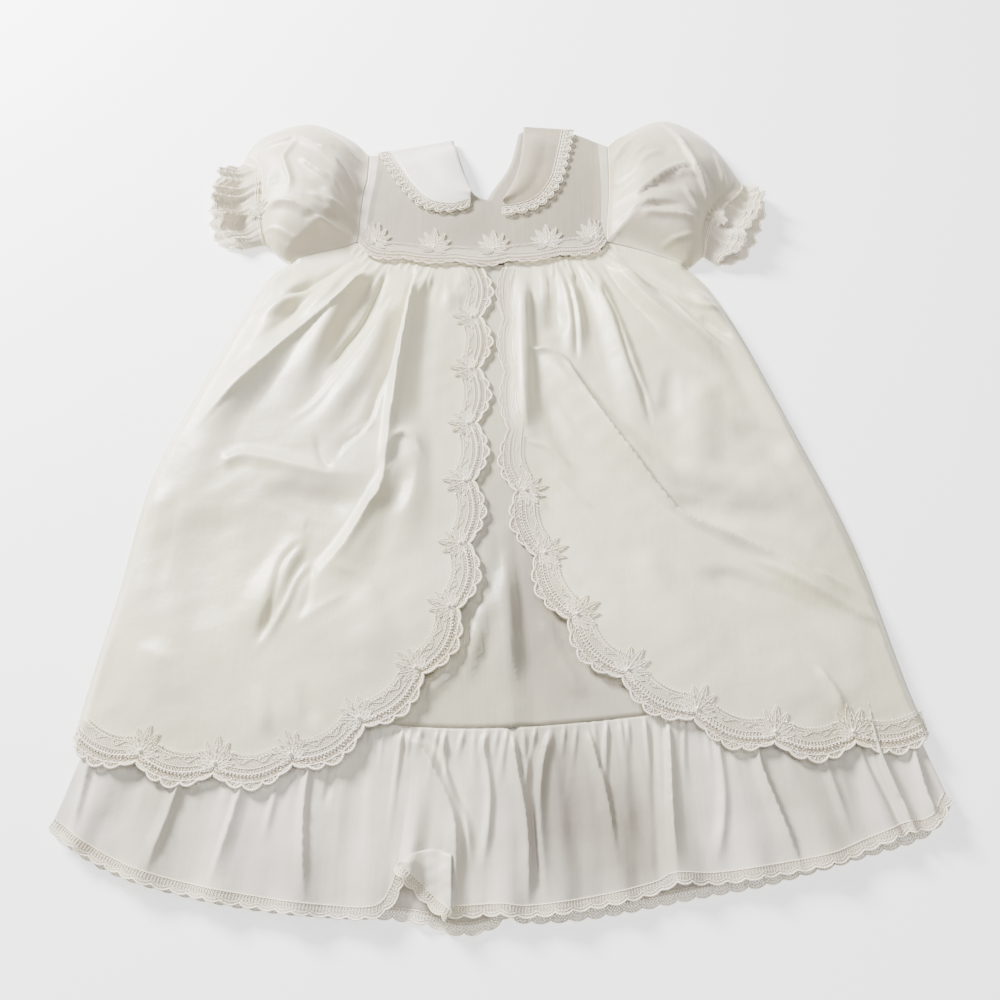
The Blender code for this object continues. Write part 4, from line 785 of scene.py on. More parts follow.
def add_cloth(name, points, faces, material, up=None, shell=SHELL):
    """Cloth over points whose faces are turned so that the face at up looks up."""
    a, b, c = (points[faces[len(faces) // 2 if up is None else up][k]] for k in range(3))
    if np.cross(b - a, c - a)[2] < 0:
        faces = faces[:, ::-1]
    return add_mesh(name + "_cloth", points, faces, points[:, :2], material, name, shell)


def add_panel(name, points, material, up=None):
    """Cloth over a grid of points."""
    return add_cloth(name, points.reshape(-1, 3), quads(*points.shape[:2]), material, up)


class Trim:
    """Small pieces joined into one mesh: along a strip, in from its edge and up, in millimetres."""

    def __init__(self, seat):
        self.seat = seat
        self.faces, self.local, self.count = [], [], 0

    def add(self, points, faces):
        points = np.asarray(points, float).reshape(-1, 3)
        self.local.append(points)
        self.faces.append(np.asarray(faces) + self.count)
        self.count += len(points)

    def strip(self, along, near, far, rows, height=0.0, turned=False):
        """Net between two lines along the lace, with rows of points from one to the other."""
        t = np.linspace(0, 1, rows)[:, None]
        faces = quads(rows, len(along))
        points = np.broadcast_arrays(along + 0 * t, near + (far - near) * t, height)
        self.add(np.stack(points, -1), faces[:, ::-1] if turned else faces)

    def line(self, along, depth, height, radius, sides=4):
        """A cord along the lace, at a depth that is one value or one a stop."""
        self.cord(np.stack(np.broadcast_arrays(along, depth, height), -1), radius, sides)

    def cord(self, path, radius, sides=5):
        path = np.asarray(path, float)
        run = np.gradient(path, axis=0)
        run /= np.linalg.norm(run, axis=1)[:, None] + 1e-9
        out = np.cross(run, (0, 0, 1))
        out /= np.linalg.norm(out, axis=1)[:, None] + 1e-9
        rise = np.cross(out, run)
        turn = np.linspace(0, 2 * math.pi, sides, endpoint=False)[None, :, None]
        ring = path[:, None] + radius * (np.cos(turn) * out[:, None] + np.sin(turn) * rise[:, None])
        self.add(ring, quads(len(path), sides, closed=True))

    def bead(self, centre, radius, flat=1.0):
        turn = np.linspace(0, 2 * math.pi, 6, endpoint=False)
        out, up = radius * np.array(BEAD_RINGS).T[:, :, None]
        ring = np.broadcast_arrays(out * np.cos(turn), out * np.sin(turn), up * flat)
        self.add(np.stack(ring, -1) + centre, quads(4, 6, closed=True))

    def leaf(self, rims, foot, length, width, turn, lift):
        """One pointed lobe from its foot towards a turn, 0 straight in, with its rim, midrib and veins."""
        t = np.linspace(0, 1, 9)[:, None]
        c = np.linspace(-1, 1, 5)[None, :]
        half = width / 2 * np.sin(np.pi * t ** 0.8) ** 0.7
        dome = lift + 0.25 * (1 - c ** 2) * np.sin(np.pi * t) ** 0.5
        cos, sin = math.cos(turn), math.sin(turn)

        def turned(a, b, h):
            x, y = foot[0] + a * sin + b * cos, foot[1] + a * cos - b * sin
            return np.stack(np.broadcast_arrays(x, y, h), -1)

        self.add(turned(t * length, c * half, dome), quads(9, 5))
        t, half = t[:, 0], half[:, 0]
        for edge in (-1, 1):
            rims.cord(turned(t * length, edge * half, lift + 0.2), LEAF_THREADS["rim"], 4)
        rims.cord(turned(t * length, 0 * t, lift + 0.35), LEAF_THREADS["midrib"], 3)
        reach = np.array([0.0, 0.45, 0.85])
        for start in (0.3, 0.55):
            for edge in (-1, 1):
                wide = edge * reach * np.interp(start + 0.12, t, half)
                vein = turned((start + 0.16 * reach) * length, wide, lift + 0.35 - 0.15 * reach)
                rims.cord(vein, LEAF_THREADS["vein"], 3)

    def motif(self, rims, foot, size=1.0):
        for turn, length, width, lift in LOBES:
            self.leaf(rims, foot, length * size, LOBE_SLIM * width * size, turn, lift * size)

    def build(self, name, material, node=None):
        local = np.vstack(self.local)
        return add_mesh(name, self.seat(local), np.vstack(self.faces), local[:, :2], material, node)


def build_lace(node, net, nets, **trims):
    """The net that stands for a lace node, in a second finish on its inner part where two are given."""
    made = net.build(node + "_net", nets[0], node)
    if len(nets) > 1:
        made.data.materials.append(nets[1])
        inner = np.arange(len(made.data.polygons)) >= OUTER_NET * len(made.data.polygons)
        made.data.polygons.foreach_set("material_index", inner.astype(np.int32))
    EXTRAS[node] = [trim.build(node + "_" + kind, TRIM_FINISH[kind]) for kind, trim in trims.items()]


# Materials: cloth with a weave, streaks along the warp, uneven tone and painted shade from the mesh; net with
# holes; thread; beads

def node_of(tree, kind, inputs=None, **settings):
    made = tree.nodes.new(kind)
    for key, value in settings.items():
        setattr(made, key, value)
    for key, value in (inputs or {}).items():
        if isinstance(value, bpy.types.NodeSocket):
            tree.links.new(value, made.inputs[key])
        else:
            made.inputs[key].default_value = value
    return made


def noise(tree, vector, scale, detail):
    inputs = {"Vector": vector, "Scale": scale, "Detail": detail}
    return node_of(tree, "ShaderNodeTexNoise", inputs).outputs["Fac"]


def bands(tree, vector, period, axis):
    """Even bands across an axis, a period in millimetres apart."""
    inputs = {"Vector": vector, "Scale": 0.314 / (period * MM), "Distortion": 0.6, "Detail Scale": 2.0}
    return node_of(tree, "ShaderNodeTexWave", inputs, wave_type="BANDS", bands_direction=axis).outputs["Fac"]


def both(tree, operation, first, second):
    return node_of(tree, "ShaderNodeMath", {0: first, 1: second}, operation=operation).outputs[0]


def fitted(tree, value, low, high, start=0.0, end=1.0):
    """A value between low and high as one between start and end."""
    inputs = {"Value": value, "From Min": low, "From Max": high, "To Min": start, "To Max": end}
    return node_of(tree, "ShaderNodeMapRange", inputs).outputs["Result"]


def blended(tree, share, first, second):
    return node_of(tree, "ShaderNodeMix", {0: share, 6: first, 7: (*second, 1)}, data_type="RGBA").outputs[2]


def bump(tree, height, distance, strength, below=None):
    """A bump, its distance in millimetres, over another where one is given."""
    inputs = {"Height": height, "Distance": distance * MM, "Strength": strength}
    if below is not None:
        inputs["Normal"] = below
    return node_of(tree, "ShaderNodeBump", inputs).outputs["Normal"]


def start_finish(name, colour, shade, roughness, sheen, stretch):
    """A principled material whose colour wanders between two tones in streaks and soft clouds, and turns
    towards the dark painted shade colour where the mesh's painted shade attribute is high.
    """
    made = bpy.data.materials.new(name)
    made.use_nodes = True
    tree = made.node_tree
    uv = node_of(tree, "ShaderNodeUVMap", uv_map="UVMap").outputs["UV"]
    grain = node_of(tree, "ShaderNodeMapping", {"Vector": uv, "Scale": (*stretch, 1)}).outputs["Vector"]
    streak = noise(tree, grain, 1.0, 4.0)
    wander = both(tree, "ADD", streak, noise(tree, uv, 16.0, 2.0))
    ramp = node_of(tree, "ShaderNodeValToRGB", {"Fac": fitted(tree, wander, 0.75, 1.25)})
    ramp.color_ramp.elements[0].color = (*shade, 1)
    ramp.color_ramp.elements[1].color = (*colour, 1)
    drift = fitted(tree, noise(tree, uv, 9.0, 1.0), 0.42, 0.62, end=0.7)
    cool = [part * value for part, value in zip(COOLER, colour)]
    tone = blended(tree, drift, ramp.outputs["Color"], cool)
    # Painted shade: the mesh's attribute blends the colour towards the dark painted shade colour
    width_and_painted_shade = node_of(tree, "ShaderNodeAttribute", attribute_name="width_and_painted_shade").outputs["Fac"]
    shader = tree.nodes["Principled BSDF"]
    tree.links.new(blended(tree, width_and_painted_shade, tone, PAINTED_SHADE_COLOUR), shader.inputs["Base Color"])
    shader.inputs["Roughness"].default_value = roughness
    shader.inputs["Sheen Weight"].default_value = sheen
    shader.inputs["Sheen Roughness"].default_value = 0.4
    return made, tree, uv, streak, shader


def cloth_finish(name, colour, shade, roughness, sheen, shine, period=0.5):
    """Woven cloth: warp and weft, uneven threads and a faint rumple, with a satin's long highlight."""
    made, tree, uv, streak, shader = start_finish(name, colour, shade, roughness, sheen, (520, 22))
    weave = both(tree, "MULTIPLY", bands(tree, uv, period, "X"), bands(tree, uv, period, "Y"))
    threads = bump(tree, streak, 0.12, 0.6, bump(tree, weave, 0.03, 0.5))
    rumpled = bump(tree, noise(tree, uv, 70.0, 3.0), RUMPLE, 0.5, threads)
    tree.links.new(rumpled, shader.inputs["Normal"])
    shader.inputs["Anisotropic"].default_value = shine
    shader.inputs["Specular IOR Level"].default_value = 0.5 + 0.2 * shine
    if shine:
        tangent = node_of(tree, "ShaderNodeTangent", direction_type="UV_MAP", uv_map="UVMap")
        tree.links.new(tangent.outputs["Tangent"], shader.inputs["Tangent"])
    return made


def net_finish(name, colour, shade, period, least):
    """Fine net: threads both ways aslant, with see-through holes."""
    made, tree, uv, _, shader = start_finish(name, colour, shade, 0.8, 0.2, (300, 300))
    aslant = {"Vector": uv, "Rotation": (0, 0, math.radians(45))}
    slant = node_of(tree, "ShaderNodeMapping", aslant).outputs["Vector"]
    pair = both(tree, "MAXIMUM", bands(tree, slant, period, "X"), bands(tree, slant, period, "Y"))
    tree.links.new(fitted(tree, pair, 0.55, 0.85, least), shader.inputs["Alpha"])
    tree.links.new(bump(tree, pair, 0.2, 0.6), shader.inputs["Normal"])
    return made


def thread_finish(name, colour, shade):
    """Twisted thread."""
    made, tree, uv, _, shader = start_finish(name, colour, shade, 0.6, 0.3, (400, 400))
    twist = bump(tree, bands(tree, uv, THREAD_TWIST, "DIAGONAL"), 0.1, 0.7)
    tree.links.new(twist, shader.inputs["Normal"])
    return made


def bead_finish(name, colour, shade):
    made, *_, shader = start_finish(name, colour, shade, 0.16, 0.0, (500, 500))
    shader.inputs["Coat Weight"].default_value = 0.6
    shader.inputs["Coat Roughness"].default_value = 0.08
    return made


SATIN = cloth_finish("satin", (0.755, 0.712, 0.52), (0.69, 0.642, 0.45), 0.4, 0.35, 0.6)
# The underskirt's front is the same satin made darker: painted shade for the cloth that lies lower between
# the overskirts
UNDER_SATIN_SHADED = cloth_finish("under_satin_painted_shade", (0.53, 0.495, 0.375), (0.47, 0.435, 0.32), 0.4, 0.3, 0.5)
COLLAR_SATIN = cloth_finish("collar_satin", (0.87, 0.84, 0.77), (0.83, 0.795, 0.72), 0.42, 0.3, 0.4)
COLLAR_SHADE = cloth_finish("collar_satin_shaded", (0.43, 0.375, 0.265), (0.37, 0.315, 0.215), 0.42, 0.3, 0.4)
PLAIN = cloth_finish("plain", (0.385, 0.345, 0.265), (0.32, 0.285, 0.215), 0.55, 0.2, 0.0)
PLAIN_DOUBLE = cloth_finish("plain_double", (0.64, 0.595, 0.49), (0.58, 0.535, 0.43), 0.6, 0.2, 0.0)
SLEEVE = cloth_finish("sleeve_cloth", (0.65, 0.59, 0.435), (0.58, 0.52, 0.37), 0.46, 0.35, 0.4)
ORGANZA = cloth_finish("organza", (0.725, 0.685, 0.585), (0.65, 0.605, 0.505), 0.44, 0.4, 0.4, period=0.4)
NET = net_finish("lace_net", (0.60, 0.515, 0.375), (0.50, 0.42, 0.295), 1.5, 0.35)
FINE_NET = net_finish("fine_net", (0.74, 0.68, 0.53), (0.68, 0.615, 0.465), 1.2, 0.15)
EDGE_NET = net_finish("edge_net", (0.75, 0.685, 0.555), (0.67, 0.60, 0.47), 1.3, 0.45)
COLLAR_NET = net_finish("collar_net", (0.83, 0.775, 0.66), (0.76, 0.70, 0.58), 1.3, 0.3)
THREAD = thread_finish("lace_thread", (0.94, 0.87, 0.71), (0.88, 0.80, 0.625))
LEAF = net_finish("leaf_net", (0.83, 0.755, 0.585), (0.73, 0.65, 0.475), 0.9, 0.3)
BEAD = bead_finish("beads", (0.96, 0.915, 0.82), (0.90, 0.845, 0.73))
COLLAR_FINISH = {"left": COLLAR_SATIN, "right": COLLAR_SHADE}
TRIM_FINISH = {"thread": THREAD, "leaves": LEAF, "beads": BEAD}


# Front overskirts and their lace

def over_base(points):
    rise = smoothstep((FRONT_RISE_START - points[..., 1]) / (FRONT_RISE_START - FRONT_RISE_END))
    return FRONT_OVER_TOP + (FRONT_OVER_HEM - FRONT_OVER_TOP) * rise


def waist_heading(side):
    """Which way the gathers run down from the waist: outwards, the more so towards the side."""
    def heading(x):
        if side == "left":
            lean = -0.8 * min(1.2, max(0.0, (-20 - x) / 94)) ** 1.3
        else:
            lean = min(1.2, max(0.0, (x - 18) / 68)) ** 2
        size = math.hypot(lean, 1)
        return lean / size, -1 / size

    return heading


def over_top(side):
    """Top of a front overskirt at plane points."""
    name, sign = "overskirt_" + side, SIGN[side]
    waist = np.vstack([curve(ARM_UNDER[side])[::-1], curve(WAIST)[::sign]])[::4]
    side_line, laced = curve(SIDE[side], 4), curve(FRONT_EDGE[side], 4)
    part = curve(WAIST)
    part = part[sign * (part[:, 0] - GATHER_FROM[side]) < 0]
    small = gather_rows(part, SEED[name], OVER_GATHERS, waist_heading(side))

    def top(points):
        side_gap = nearest(points, side_line)[0]
        waist_gap = nearest(points, waist)[0]
        pressed = 0.1 + 0.9 * smoothstep((waist_gap - PRESSED_FROM) / PRESSED_RUN)
        edge_gap = np.minimum(side_gap, nearest(points, laced)[0])
        puff = OVER_PUFF * smoothstep(edge_gap / EDGE_PUFF_RUN) * smoothstep(waist_gap / WAIST_PUFF_RUN)
        lift = over_base(points) + puff + all_folds(name, points) * pressed
        near = waist_gap < GATHER_ZONE
        gather = np.zeros_like(lift)
        gather[near] = fold_height(small, points[near], 1, crest)
        lift += gather * (0.45 + 0.55 * smoothstep((waist_gap - 8) / 16))
        lift += ripple(points, "broad") * smoothstep(waist_gap / WAVE_RUN)
        lift += ripple(points, "fine")
        lift = soft_floor(lift, over_base(points) - OVER_DIP)
        return BACK_SECOND + (lift - BACK_SECOND) * smoothstep(side_gap / SIDE_DROP) + CLOTH

    return top


def overskirt(side):
    """A front overskirt: a patch, and a strip of closer lines along its laced edge."""
    sign = SIGN[side]
    across, along, deep = OVER_GRID[0] // STEP, OVER_GRID[1] // STEP, OVER_GRID[2]
    line = curve(FRONT_EDGE[side])
    total = run_of(line)[-1]
    stops = np.concatenate([np.linspace(0, HEM_RUN, across + 1), np.linspace(HEM_RUN, total, along + 1)[1:]])
    edge = at(line, stops)
    under, skirt_side = curve(ARM_UNDER[side])[::-1], curve(SIDE[side])[::-1]
    waist = curve(WAIST)[::sign]
    inside = waist[1:][sign * (waist[1:, 0] - edge[-1, 0]) < -1]
    top_line = np.vstack([under, inside, edge[-1:] + (0, WAIST_GAP)]) - (0, WAIST_GAP)
    lines = []
    for depth in np.linspace(0, STRIP, deep + 1):
        row = edge + sideways(edge) * sign * depth
        start = at(skirt_side, np.array([depth]))[0] - row[0]
        end = at_x(top_line, [edge[-1, 0] - sign * depth])[0] - row[-1]
        row = row + np.clip(1 - stops / 50, 0, 1)[:, None] * start
        lines.append(row + np.clip(1 - (total - stops) / 40, 0, 1)[:, None] * end)
    inner = lines[-1]
    run = run_of(skirt_side)[-1]
    left = at(skirt_side, np.linspace(STRIP, run, along + 1))
    cut = top_line[sign * (top_line[:, 0] - inner[-1, 0]) < -0.5]
    top = spread(np.vstack([cut, inner[-1:]]), across)
    left[-1], left[0] = top[0], inner[0]
    grid = patch(inner[:across + 1], top, left, inner[across:])
    index = np.arange(grid[..., 0].size).reshape(grid.shape[:2])
    border = np.concatenate([index[0], index[1:, -1]])
    extra = index.size + np.arange(deep * len(border)).reshape(deep, -1)
    plan = np.vstack([grid.reshape(-1, 2)] + lines[-2::-1])
    high = over_top(side)
    points = np.column_stack([plan, high(plan)])
    strip = grid_faces(np.vstack([border, extra]))[:, ::-1]
    add_cloth("overskirt_" + side, points, np.vstack([grid_faces(index), strip]), SATIN)
    wide_lace(side, line, high)


def fraction(along):
    """Place in the repeat, 0 to 1 from cusp to cusp."""
    return np.mod(along / REPEAT, 1.0)


def scallop(phase):
    """Reach of the wide lace's main curve beyond the cloth's edge."""
    return SCALLOP_FOOT + SCALLOP_BOW * np.sin(np.pi * phase) ** 0.8


def inner_line(phase):
    """Depth of the wide lace's upper line."""
    return LACE_INNER - LACE_INNER_BOW * np.sin(np.pi * phase)


def lobe(phase, start, end):
    """Outline of one small lobe, 0 to 1, which is 0 beyond its ends."""
    return np.sin(np.pi * np.clip((phase - start) / (end - start), 0, 1)) ** 0.5


def lobed(phase):
    """The scallop's edge with its five small lobes."""
    return scallop(phase) + sum(high * lobe(phase, a, b) for a, b, high in SUB_LOBES)


def wide_seat(side, line, high, stretch):
    """How the wide lace lies on an overskirt's edge, and how far it is turned away at a place."""
    sign = SIGN[side]

    def hidden(s):
        """How far the right-hand lace has turned away under the front roll."""
        y = at(line, s)[:, 1]
        return smoothstep((y - 10) / 60) if side == "right" else np.zeros_like(y)

    def seat(local):
        s, d = local[:, 0] * stretch, local[:, 1]
        away = hidden(s)
        d = np.where(d < 0, d * (1 - 0.45 * away), d * (1 - 0.3 * away))
        base = at(line, s)
        normal = at(line, s, sideways(line) * sign)
        normal /= np.linalg.norm(normal, axis=1)[:, None]
        plan = base + normal * d[:, None]
        z = high(base + normal * np.maximum(d, 0)[:, None]) + 0.35 + local[:, 2] * (1 - 0.35 * away)
        return np.column_stack([plan, z])

    return seat, hidden


def lace_ground(net, threads, length):
    """The wide lace's net, the cords of its edges and lines, and the bars between two of them."""
    s = np.arange(0, length + 0.1, 1.5 * STEP)
    phase = fraction(s)
    net.strip(s, -lobed(phase), inner_line(phase), 11, 0.05)
    s = np.arange(0, length + 0.1, 1.0 * STEP)
    phase = fraction(s)
    threads.line(s, -lobed(phase), 0.35, LACE_THREADS["edge"], 5)
    for offset, radius in LACE_CORDS:
        threads.line(s, offset - scallop(phase), 0.3, radius)
    threads.line(s, inner_line(phase), 0.25, LACE_THREADS["inner"])
    for place in np.arange(0.8, length, BAR_PITCH * STEP):
        low = -scallop(fraction(place))
        threads.cord([(place, low + 5.0, 0.3), (place, low + 8.0, 0.3)], LACE_THREADS["bar"], 3)


def lace_bead_rows(beads, length):
    """Beads along the main curve and inside the upper line of each scallop."""
    for place in np.arange(1.0, length, BEAD_PITCH):
        here = fraction(place)
        beads.bead((place, 4.0 - scallop(here), 0.6), LACE_BEADS["row"])
        if 0.14 < here < 0.86:
            beads.bead((place, inner_line(here) + 2.0, 0.6), LACE_BEADS["inner"])


def lace_scallop(start, threads, beads, rng):
    """One scallop's sequins, its two sprigs with beads and the ribs of its small lobes."""
    for _ in range(LACE_SEQUINS):
        here = rng.uniform(0.08, 0.92)
        depth = -lobed(here) + rng.uniform(0.9, 5.4)
        beads.bead((start + here * REPEAT, depth, 0.35), rng.uniform(0.3, 0.6), 0.4)
    for sign in (-1, 1):
        stem = np.linspace(0, 1, 9)
        part = 0.5 + sign * (SPRIG_LOW - SPRIG_RUN * stem)
        along = start + REPEAT * part
        depth = inner_line(part) - 2.0 + 1.4 * np.sin(2.6 * np.pi * stem)
        threads.line(along, depth, 0.3, LACE_THREADS["sprig"], 3)
        for k in (2, 4, 6):
            beads.bead((along[k], depth[k] + 1.2, 0.35), LACE_BEADS["sprig"], 0.4)
    for a, b, _ in SUB_LOBES:
        for part in (0.3, 0.5, 0.7):
            here = a + (b - a) * part
            low, top = 0.6 - lobed(here), 1.2 - scallop((a + b) / 2)
            foot = start + (a + b) / 2 * REPEAT
            threads.cord([(start + here * REPEAT, low, 0.25), (foot, top, 0.3)], LACE_THREADS["rib"], 3)


def lace_leaf(place, threads, leaves, beads, rng):
    """The leaf at one cusp, with its beads and a short bow of thread beside its foot."""
    leaves.motif(threads, (place, 2.6), rng.uniform(0.98, 1.1))
    beads.bead((place, 4.4, 1.1), LACE_BEADS["cusp"])
    for turn in (-0.56, 0.0, 0.56):
        centre = (place + LEAF_BEADS * math.sin(turn), 3 + LEAF_BEADS * math.cos(turn), 1.3)
        beads.bead(centre, LACE_BEADS["leaf"])
    threads.cord([(place + 5, 1.0, 0.4), (place + 8.5, 3.0, 0.4)], LACE_THREADS["bow"], 4)


def wide_lace(side, line, high):
    """Galloon lace on an overskirt's edge: net, cords, beads, sequins and a leaf at each cusp."""
    total = run_of(line)[-1] - LACE_END
    count = round(total / REPEAT)
    stretch = total / count / REPEAT
    length = count * REPEAT
    rng = np.random.default_rng(SEED["lace"])
    seat, hidden = wide_seat(side, line, high, stretch)
    net, threads, leaves, beads = Trim(seat), Trim(seat), Trim(seat), Trim(seat)
    lace_ground(net, threads, length)
    lace_bead_rows(beads, length)
    for repeat in range(count):
        lace_scallop(repeat * REPEAT, threads, beads, rng)
    for cusp in range(count + 1):
        place = cusp * REPEAT
        inside = LEAF_MARGIN < place < length - LEAF_MARGIN
        if inside and hidden(np.array([place * stretch]))[0] < 0.6:
            lace_leaf(place, threads, leaves, beads, rng)
    name = "overskirt_lace_" + side
    build_lace(name, net, (NET, FINE_NET), thread=threads, leaves=leaves, beads=beads)


# Backs and underskirt

def flat_panel(name, grid, height, material):
    return add_panel(name, raised(grid, height(grid)), material)


def overskirt_back():
    """The overskirt's back panel and the lace along its hem."""
    across, along = (count // STEP for count in BACK_GRID)
    top, bottom = spread(whole_waist() - (0, WAIST_GAP), across), spread(curve(BACK_HEM), across)
    left, right = spread(curve(SIDE["left"]), along), spread(curve(SIDE["right"]), along)
    left[0], right[0], left[-1], right[-1] = top[0], top[-1], bottom[0], bottom[-1]

    def height(plan):
        return CLOTH - 0.15 + ripple(plan, "back")

    flat_panel("overskirt_back", patch(top, bottom, left, right), height, SATIN)
    line = spread(curve(BACK_HEM), 400 // STEP)

    def seat(local):
        base = at(line, local[:, 0])
        normal = at(line, local[:, 0], sideways(line))
        return np.column_stack([base + normal * local[:, 1:2], 0.5 + local[:, 2]])

    total = run_of(line)[-1]
    net, threads = Trim(seat), Trim(seat)
    s = np.arange(0, total, 2.0 * STEP)
    phase = fraction(s)
    net.strip(s, -SEAM_GAP, -SEAM_GAP - lobed(phase), 5, turned=True)
    threads.line(s, -lobed(phase), 0.2, BACK_LACE_THREADS["edge"])
    threads.line(s, 3.2 - scallop(phase), 0.2, BACK_LACE_THREADS["inner"])
    build_lace("overskirt_lace_back", net, (NET,), thread=threads)


def skirt():
    """The front and back of the underskirt, which lie inside the overskirt."""
    across, along = (count // STEP for count in SKIRT_GRID)
    waist = whole_waist()
    low, high = waist[0, 0] + SKIRT_INSET, waist[-1, 0] - SKIRT_INSET
    waist = waist[(waist[:, 0] > low) & (waist[:, 0] < high)]
    top = spread(waist + (0, SKIRT_UP), across)
    bottom = spread(curve(RUFFLE_SEAM), across) - (0, SEAM_LAP)
    sides = []
    for name, sign, end in (("left", 1, bottom[0]), ("right", -1, bottom[-1])):
        stops = np.array(SIDE[name][:-2], float) + (sign * SKIRT_INSET, 0)
        sides.append(spread(curve(np.vstack([stops, end])), along))
    left, right = sides
    left[0], right[0] = top[0], top[-1]
    grid = patch(top, bottom, left, right)
    seam, line = curve(RUFFLE_SEAM, 4), curve(WAIST, 4)
    small = gather_rows(curve(WAIST)[60:90], SEED["skirt_gather"], SKIRT_GATHERS, lambda x: (0.02, -1.0))

    def front(points):
        onto_ruffle = 1 - smoothstep(nearest(points, seam)[0] / SKIRT_RISE_RUN)
        at_waist = 1 - smoothstep(nearest(points, line)[0] / SKIRT_LIFT_RUN)
        z = FRONT_SKIRT + (FRONT_RUFFLE - FRONT_SKIRT) * onto_ruffle
        z = z + all_folds("skirt_front", points) + SKIRT_LIFT * at_waist
        z = z + CLOTH + ripple(points, "skirt") + 0.4 * fold_height(small, points, 1)
        return soft_floor(z, FRONT_SKIRT + 0.6)

    flat_panel("skirt_front", grid, front, UNDER_SATIN_SHADED)
    coarse = grid[::3, ::3]
    flat_panel("skirt_back", coarse, lambda plan: BACK_SECOND + CLOTH + 0 * plan[..., 0], SATIN)


# Ruffle and its narrow hem lace

def ruffle(half):
    """One half of the hem ruffle, with gathers from its seam and waves at its hem."""
    front = half == "front"
    columns, rows = (count // STEP for count in RUFFLE_GRID[half])
    seam = spread(curve(RUFFLE_SEAM), columns) - (0, SEAM_GAP)
    hem = spread(curve(RUFFLE_HEM[half]), columns)
    share = np.linspace(0, 1, rows + 1)[:, None]
    place = np.linspace(0, 1, columns + 1)[None, :]
    plan = seam[None] * (1 - share[..., None]) + hem[None] * share[..., None]
    rng = np.random.default_rng(SEED["ruffle_" + half])
    width = run_of(seam)[-1]
    gather = np.zeros((rows + 1, columns + 1))
    middle = 0.006
    while middle < 0.995:
        reach, half_width = rng.uniform(0.16, 1) ** 1.6, rng.uniform(1.7, 3.0) / width
        drift = rng.normal(0, 0.012)
        gap = np.abs(place - middle - drift * share)
        ridge = bell(gap, half_width * (1 + 2.4 * share)) * smoothstep(1 - share / (0.16 + 0.8 * reach))
        gather += rng.uniform(1.0, 2.1) * ridge
        middle += rng.uniform(0.6, 1.4) / RUFFLE_COUNT[half]
    wave = sum(h * bell(np.abs(place - m), w) for m, w, h in RUFFLE_WAVES)
    base = FRONT_RUFFLE if front else BACK_SECOND * (1 - smoothstep((share - 0.6) / 0.3))
    gather = gather * (0.2 + 0.8 * smoothstep(share / 0.07))
    z = base + gather * RUFFLE_GATHER[half] + HEM_WAVE[half] * wave * share ** 2.2 + CLOTH
    if front:
        z = z + all_folds("ruffle_front", plan) * smoothstep(share / 0.14)
        z = soft_floor(z + (ripple(plan, "ruffle") + RUFFLE_PUFF) * share, FRONT_RUFFLE)
    z = np.maximum(z, CLOTH * 0.75)
    points = raised(plan, z)
    add_panel("ruffle_" + half, points, ORGANZA)
    net, threads = narrow_lace(points[-1])
    build_lace("hem_lace_" + half, net, (EDGE_NET,), thread=threads)
    if front:
        turned_hem(plan, z)


def turned_hem(plan, z):
    """The corner of the front ruffle that is folded up at the notch, with its laced edge."""
    across, along = TURNED_GRID
    low = spread(curve(TURNED_LOW), across)
    top = spread(curve(TURNED_TOP), across)
    grid = patch(low, top, straight(low[0], top[0], along), straight(low[-1], top[-1], along))
    swell = np.sin(np.pi * np.linspace(0, 1, along + 1))[:, None]
    lift = 1.4 + 1.6 * swell + ripple(grid, "turned")
    points = raised(grid, height_on(plan, z, grid) + lift)
    flat = points.reshape(-1, 3)
    faces = quads(*points.shape[:2])
    turned = add_mesh("hem_turned_up", flat, faces, flat[:, :2], ORGANZA, None, SHELL)
    net, threads = narrow_lace(points[0])
    laced = [net.build("hem_turned_up_net", EDGE_NET), threads.build("hem_turned_up_thread", THREAD)]
    EXTRAS["ruffle_front"] = [turned] + laced


def narrow_lace(row):
    """Narrow lace along a hem, with small scallops and a line of stitches."""
    steps = int(run_of(row)[-1] * 1.2) // STEP
    line = spread(row, steps)
    plan = spread(line[:, :2], steps)
    normal = -sideways(plan)
    for _ in range(12):
        normal[1:-1] = (normal[:-2] + normal[1:-1] + normal[2:]) / 3
    normal /= np.linalg.norm(normal, axis=1)[:, None]
    total = run_of(line)[-1]

    def seat(local):
        s = np.clip(local[:, 0], 0, total)
        base, out = at(line, s), at(line, s, normal)
        z = np.maximum(base[:, 2] + local[:, 2], 0.35)
        return np.column_stack([base[:, :2] + out * local[:, 1:2], z])

    net, threads = Trim(seat), Trim(seat)
    s = np.arange(0, total, 1.2 * STEP)
    edge = HEM_LACE_DEPTH + HEM_LOOP_DEPTH * np.sin(np.pi * np.mod(s / HEM_LOOP, 1)) ** 0.7
    net.strip(s, HEM_LACE_FOOT, edge, 5, 0.3, turned=True)
    threads.line(s, edge, 0.3, HEM_THREADS["edge"])
    threads.line(s, edge - 1.7, 0.3, HEM_THREADS["inner"])
    threads.line(s, HEM_LACE_FOOT, 0.5, HEM_THREADS["foot"])
    for place in np.arange(0.6, total, HEM_STITCH * STEP):
        threads.cord([(place, -1.2, 0.5), (place, 1.9, 0.5)], HEM_THREADS["stitch"], 3)
    return net, threads


# Bodice and collar

def bodice_low(points):
    """Underside of the bodice's front at plane points."""
    share = np.clip((points[..., 1] - 210) / 125, 0, 1)
    crown = BODICE_WAIST_Z + BODICE_CROWN * np.sin(np.pi * share)
    gap = np.minimum(*(nearest(points, curve(SHOULDER[side], 4))[0] for side in SIGN))
    return BODICE_SHOULDER_Z + (crown - BODICE_SHOULDER_Z) * smoothstep(gap / SHOULDER_SLOPE)


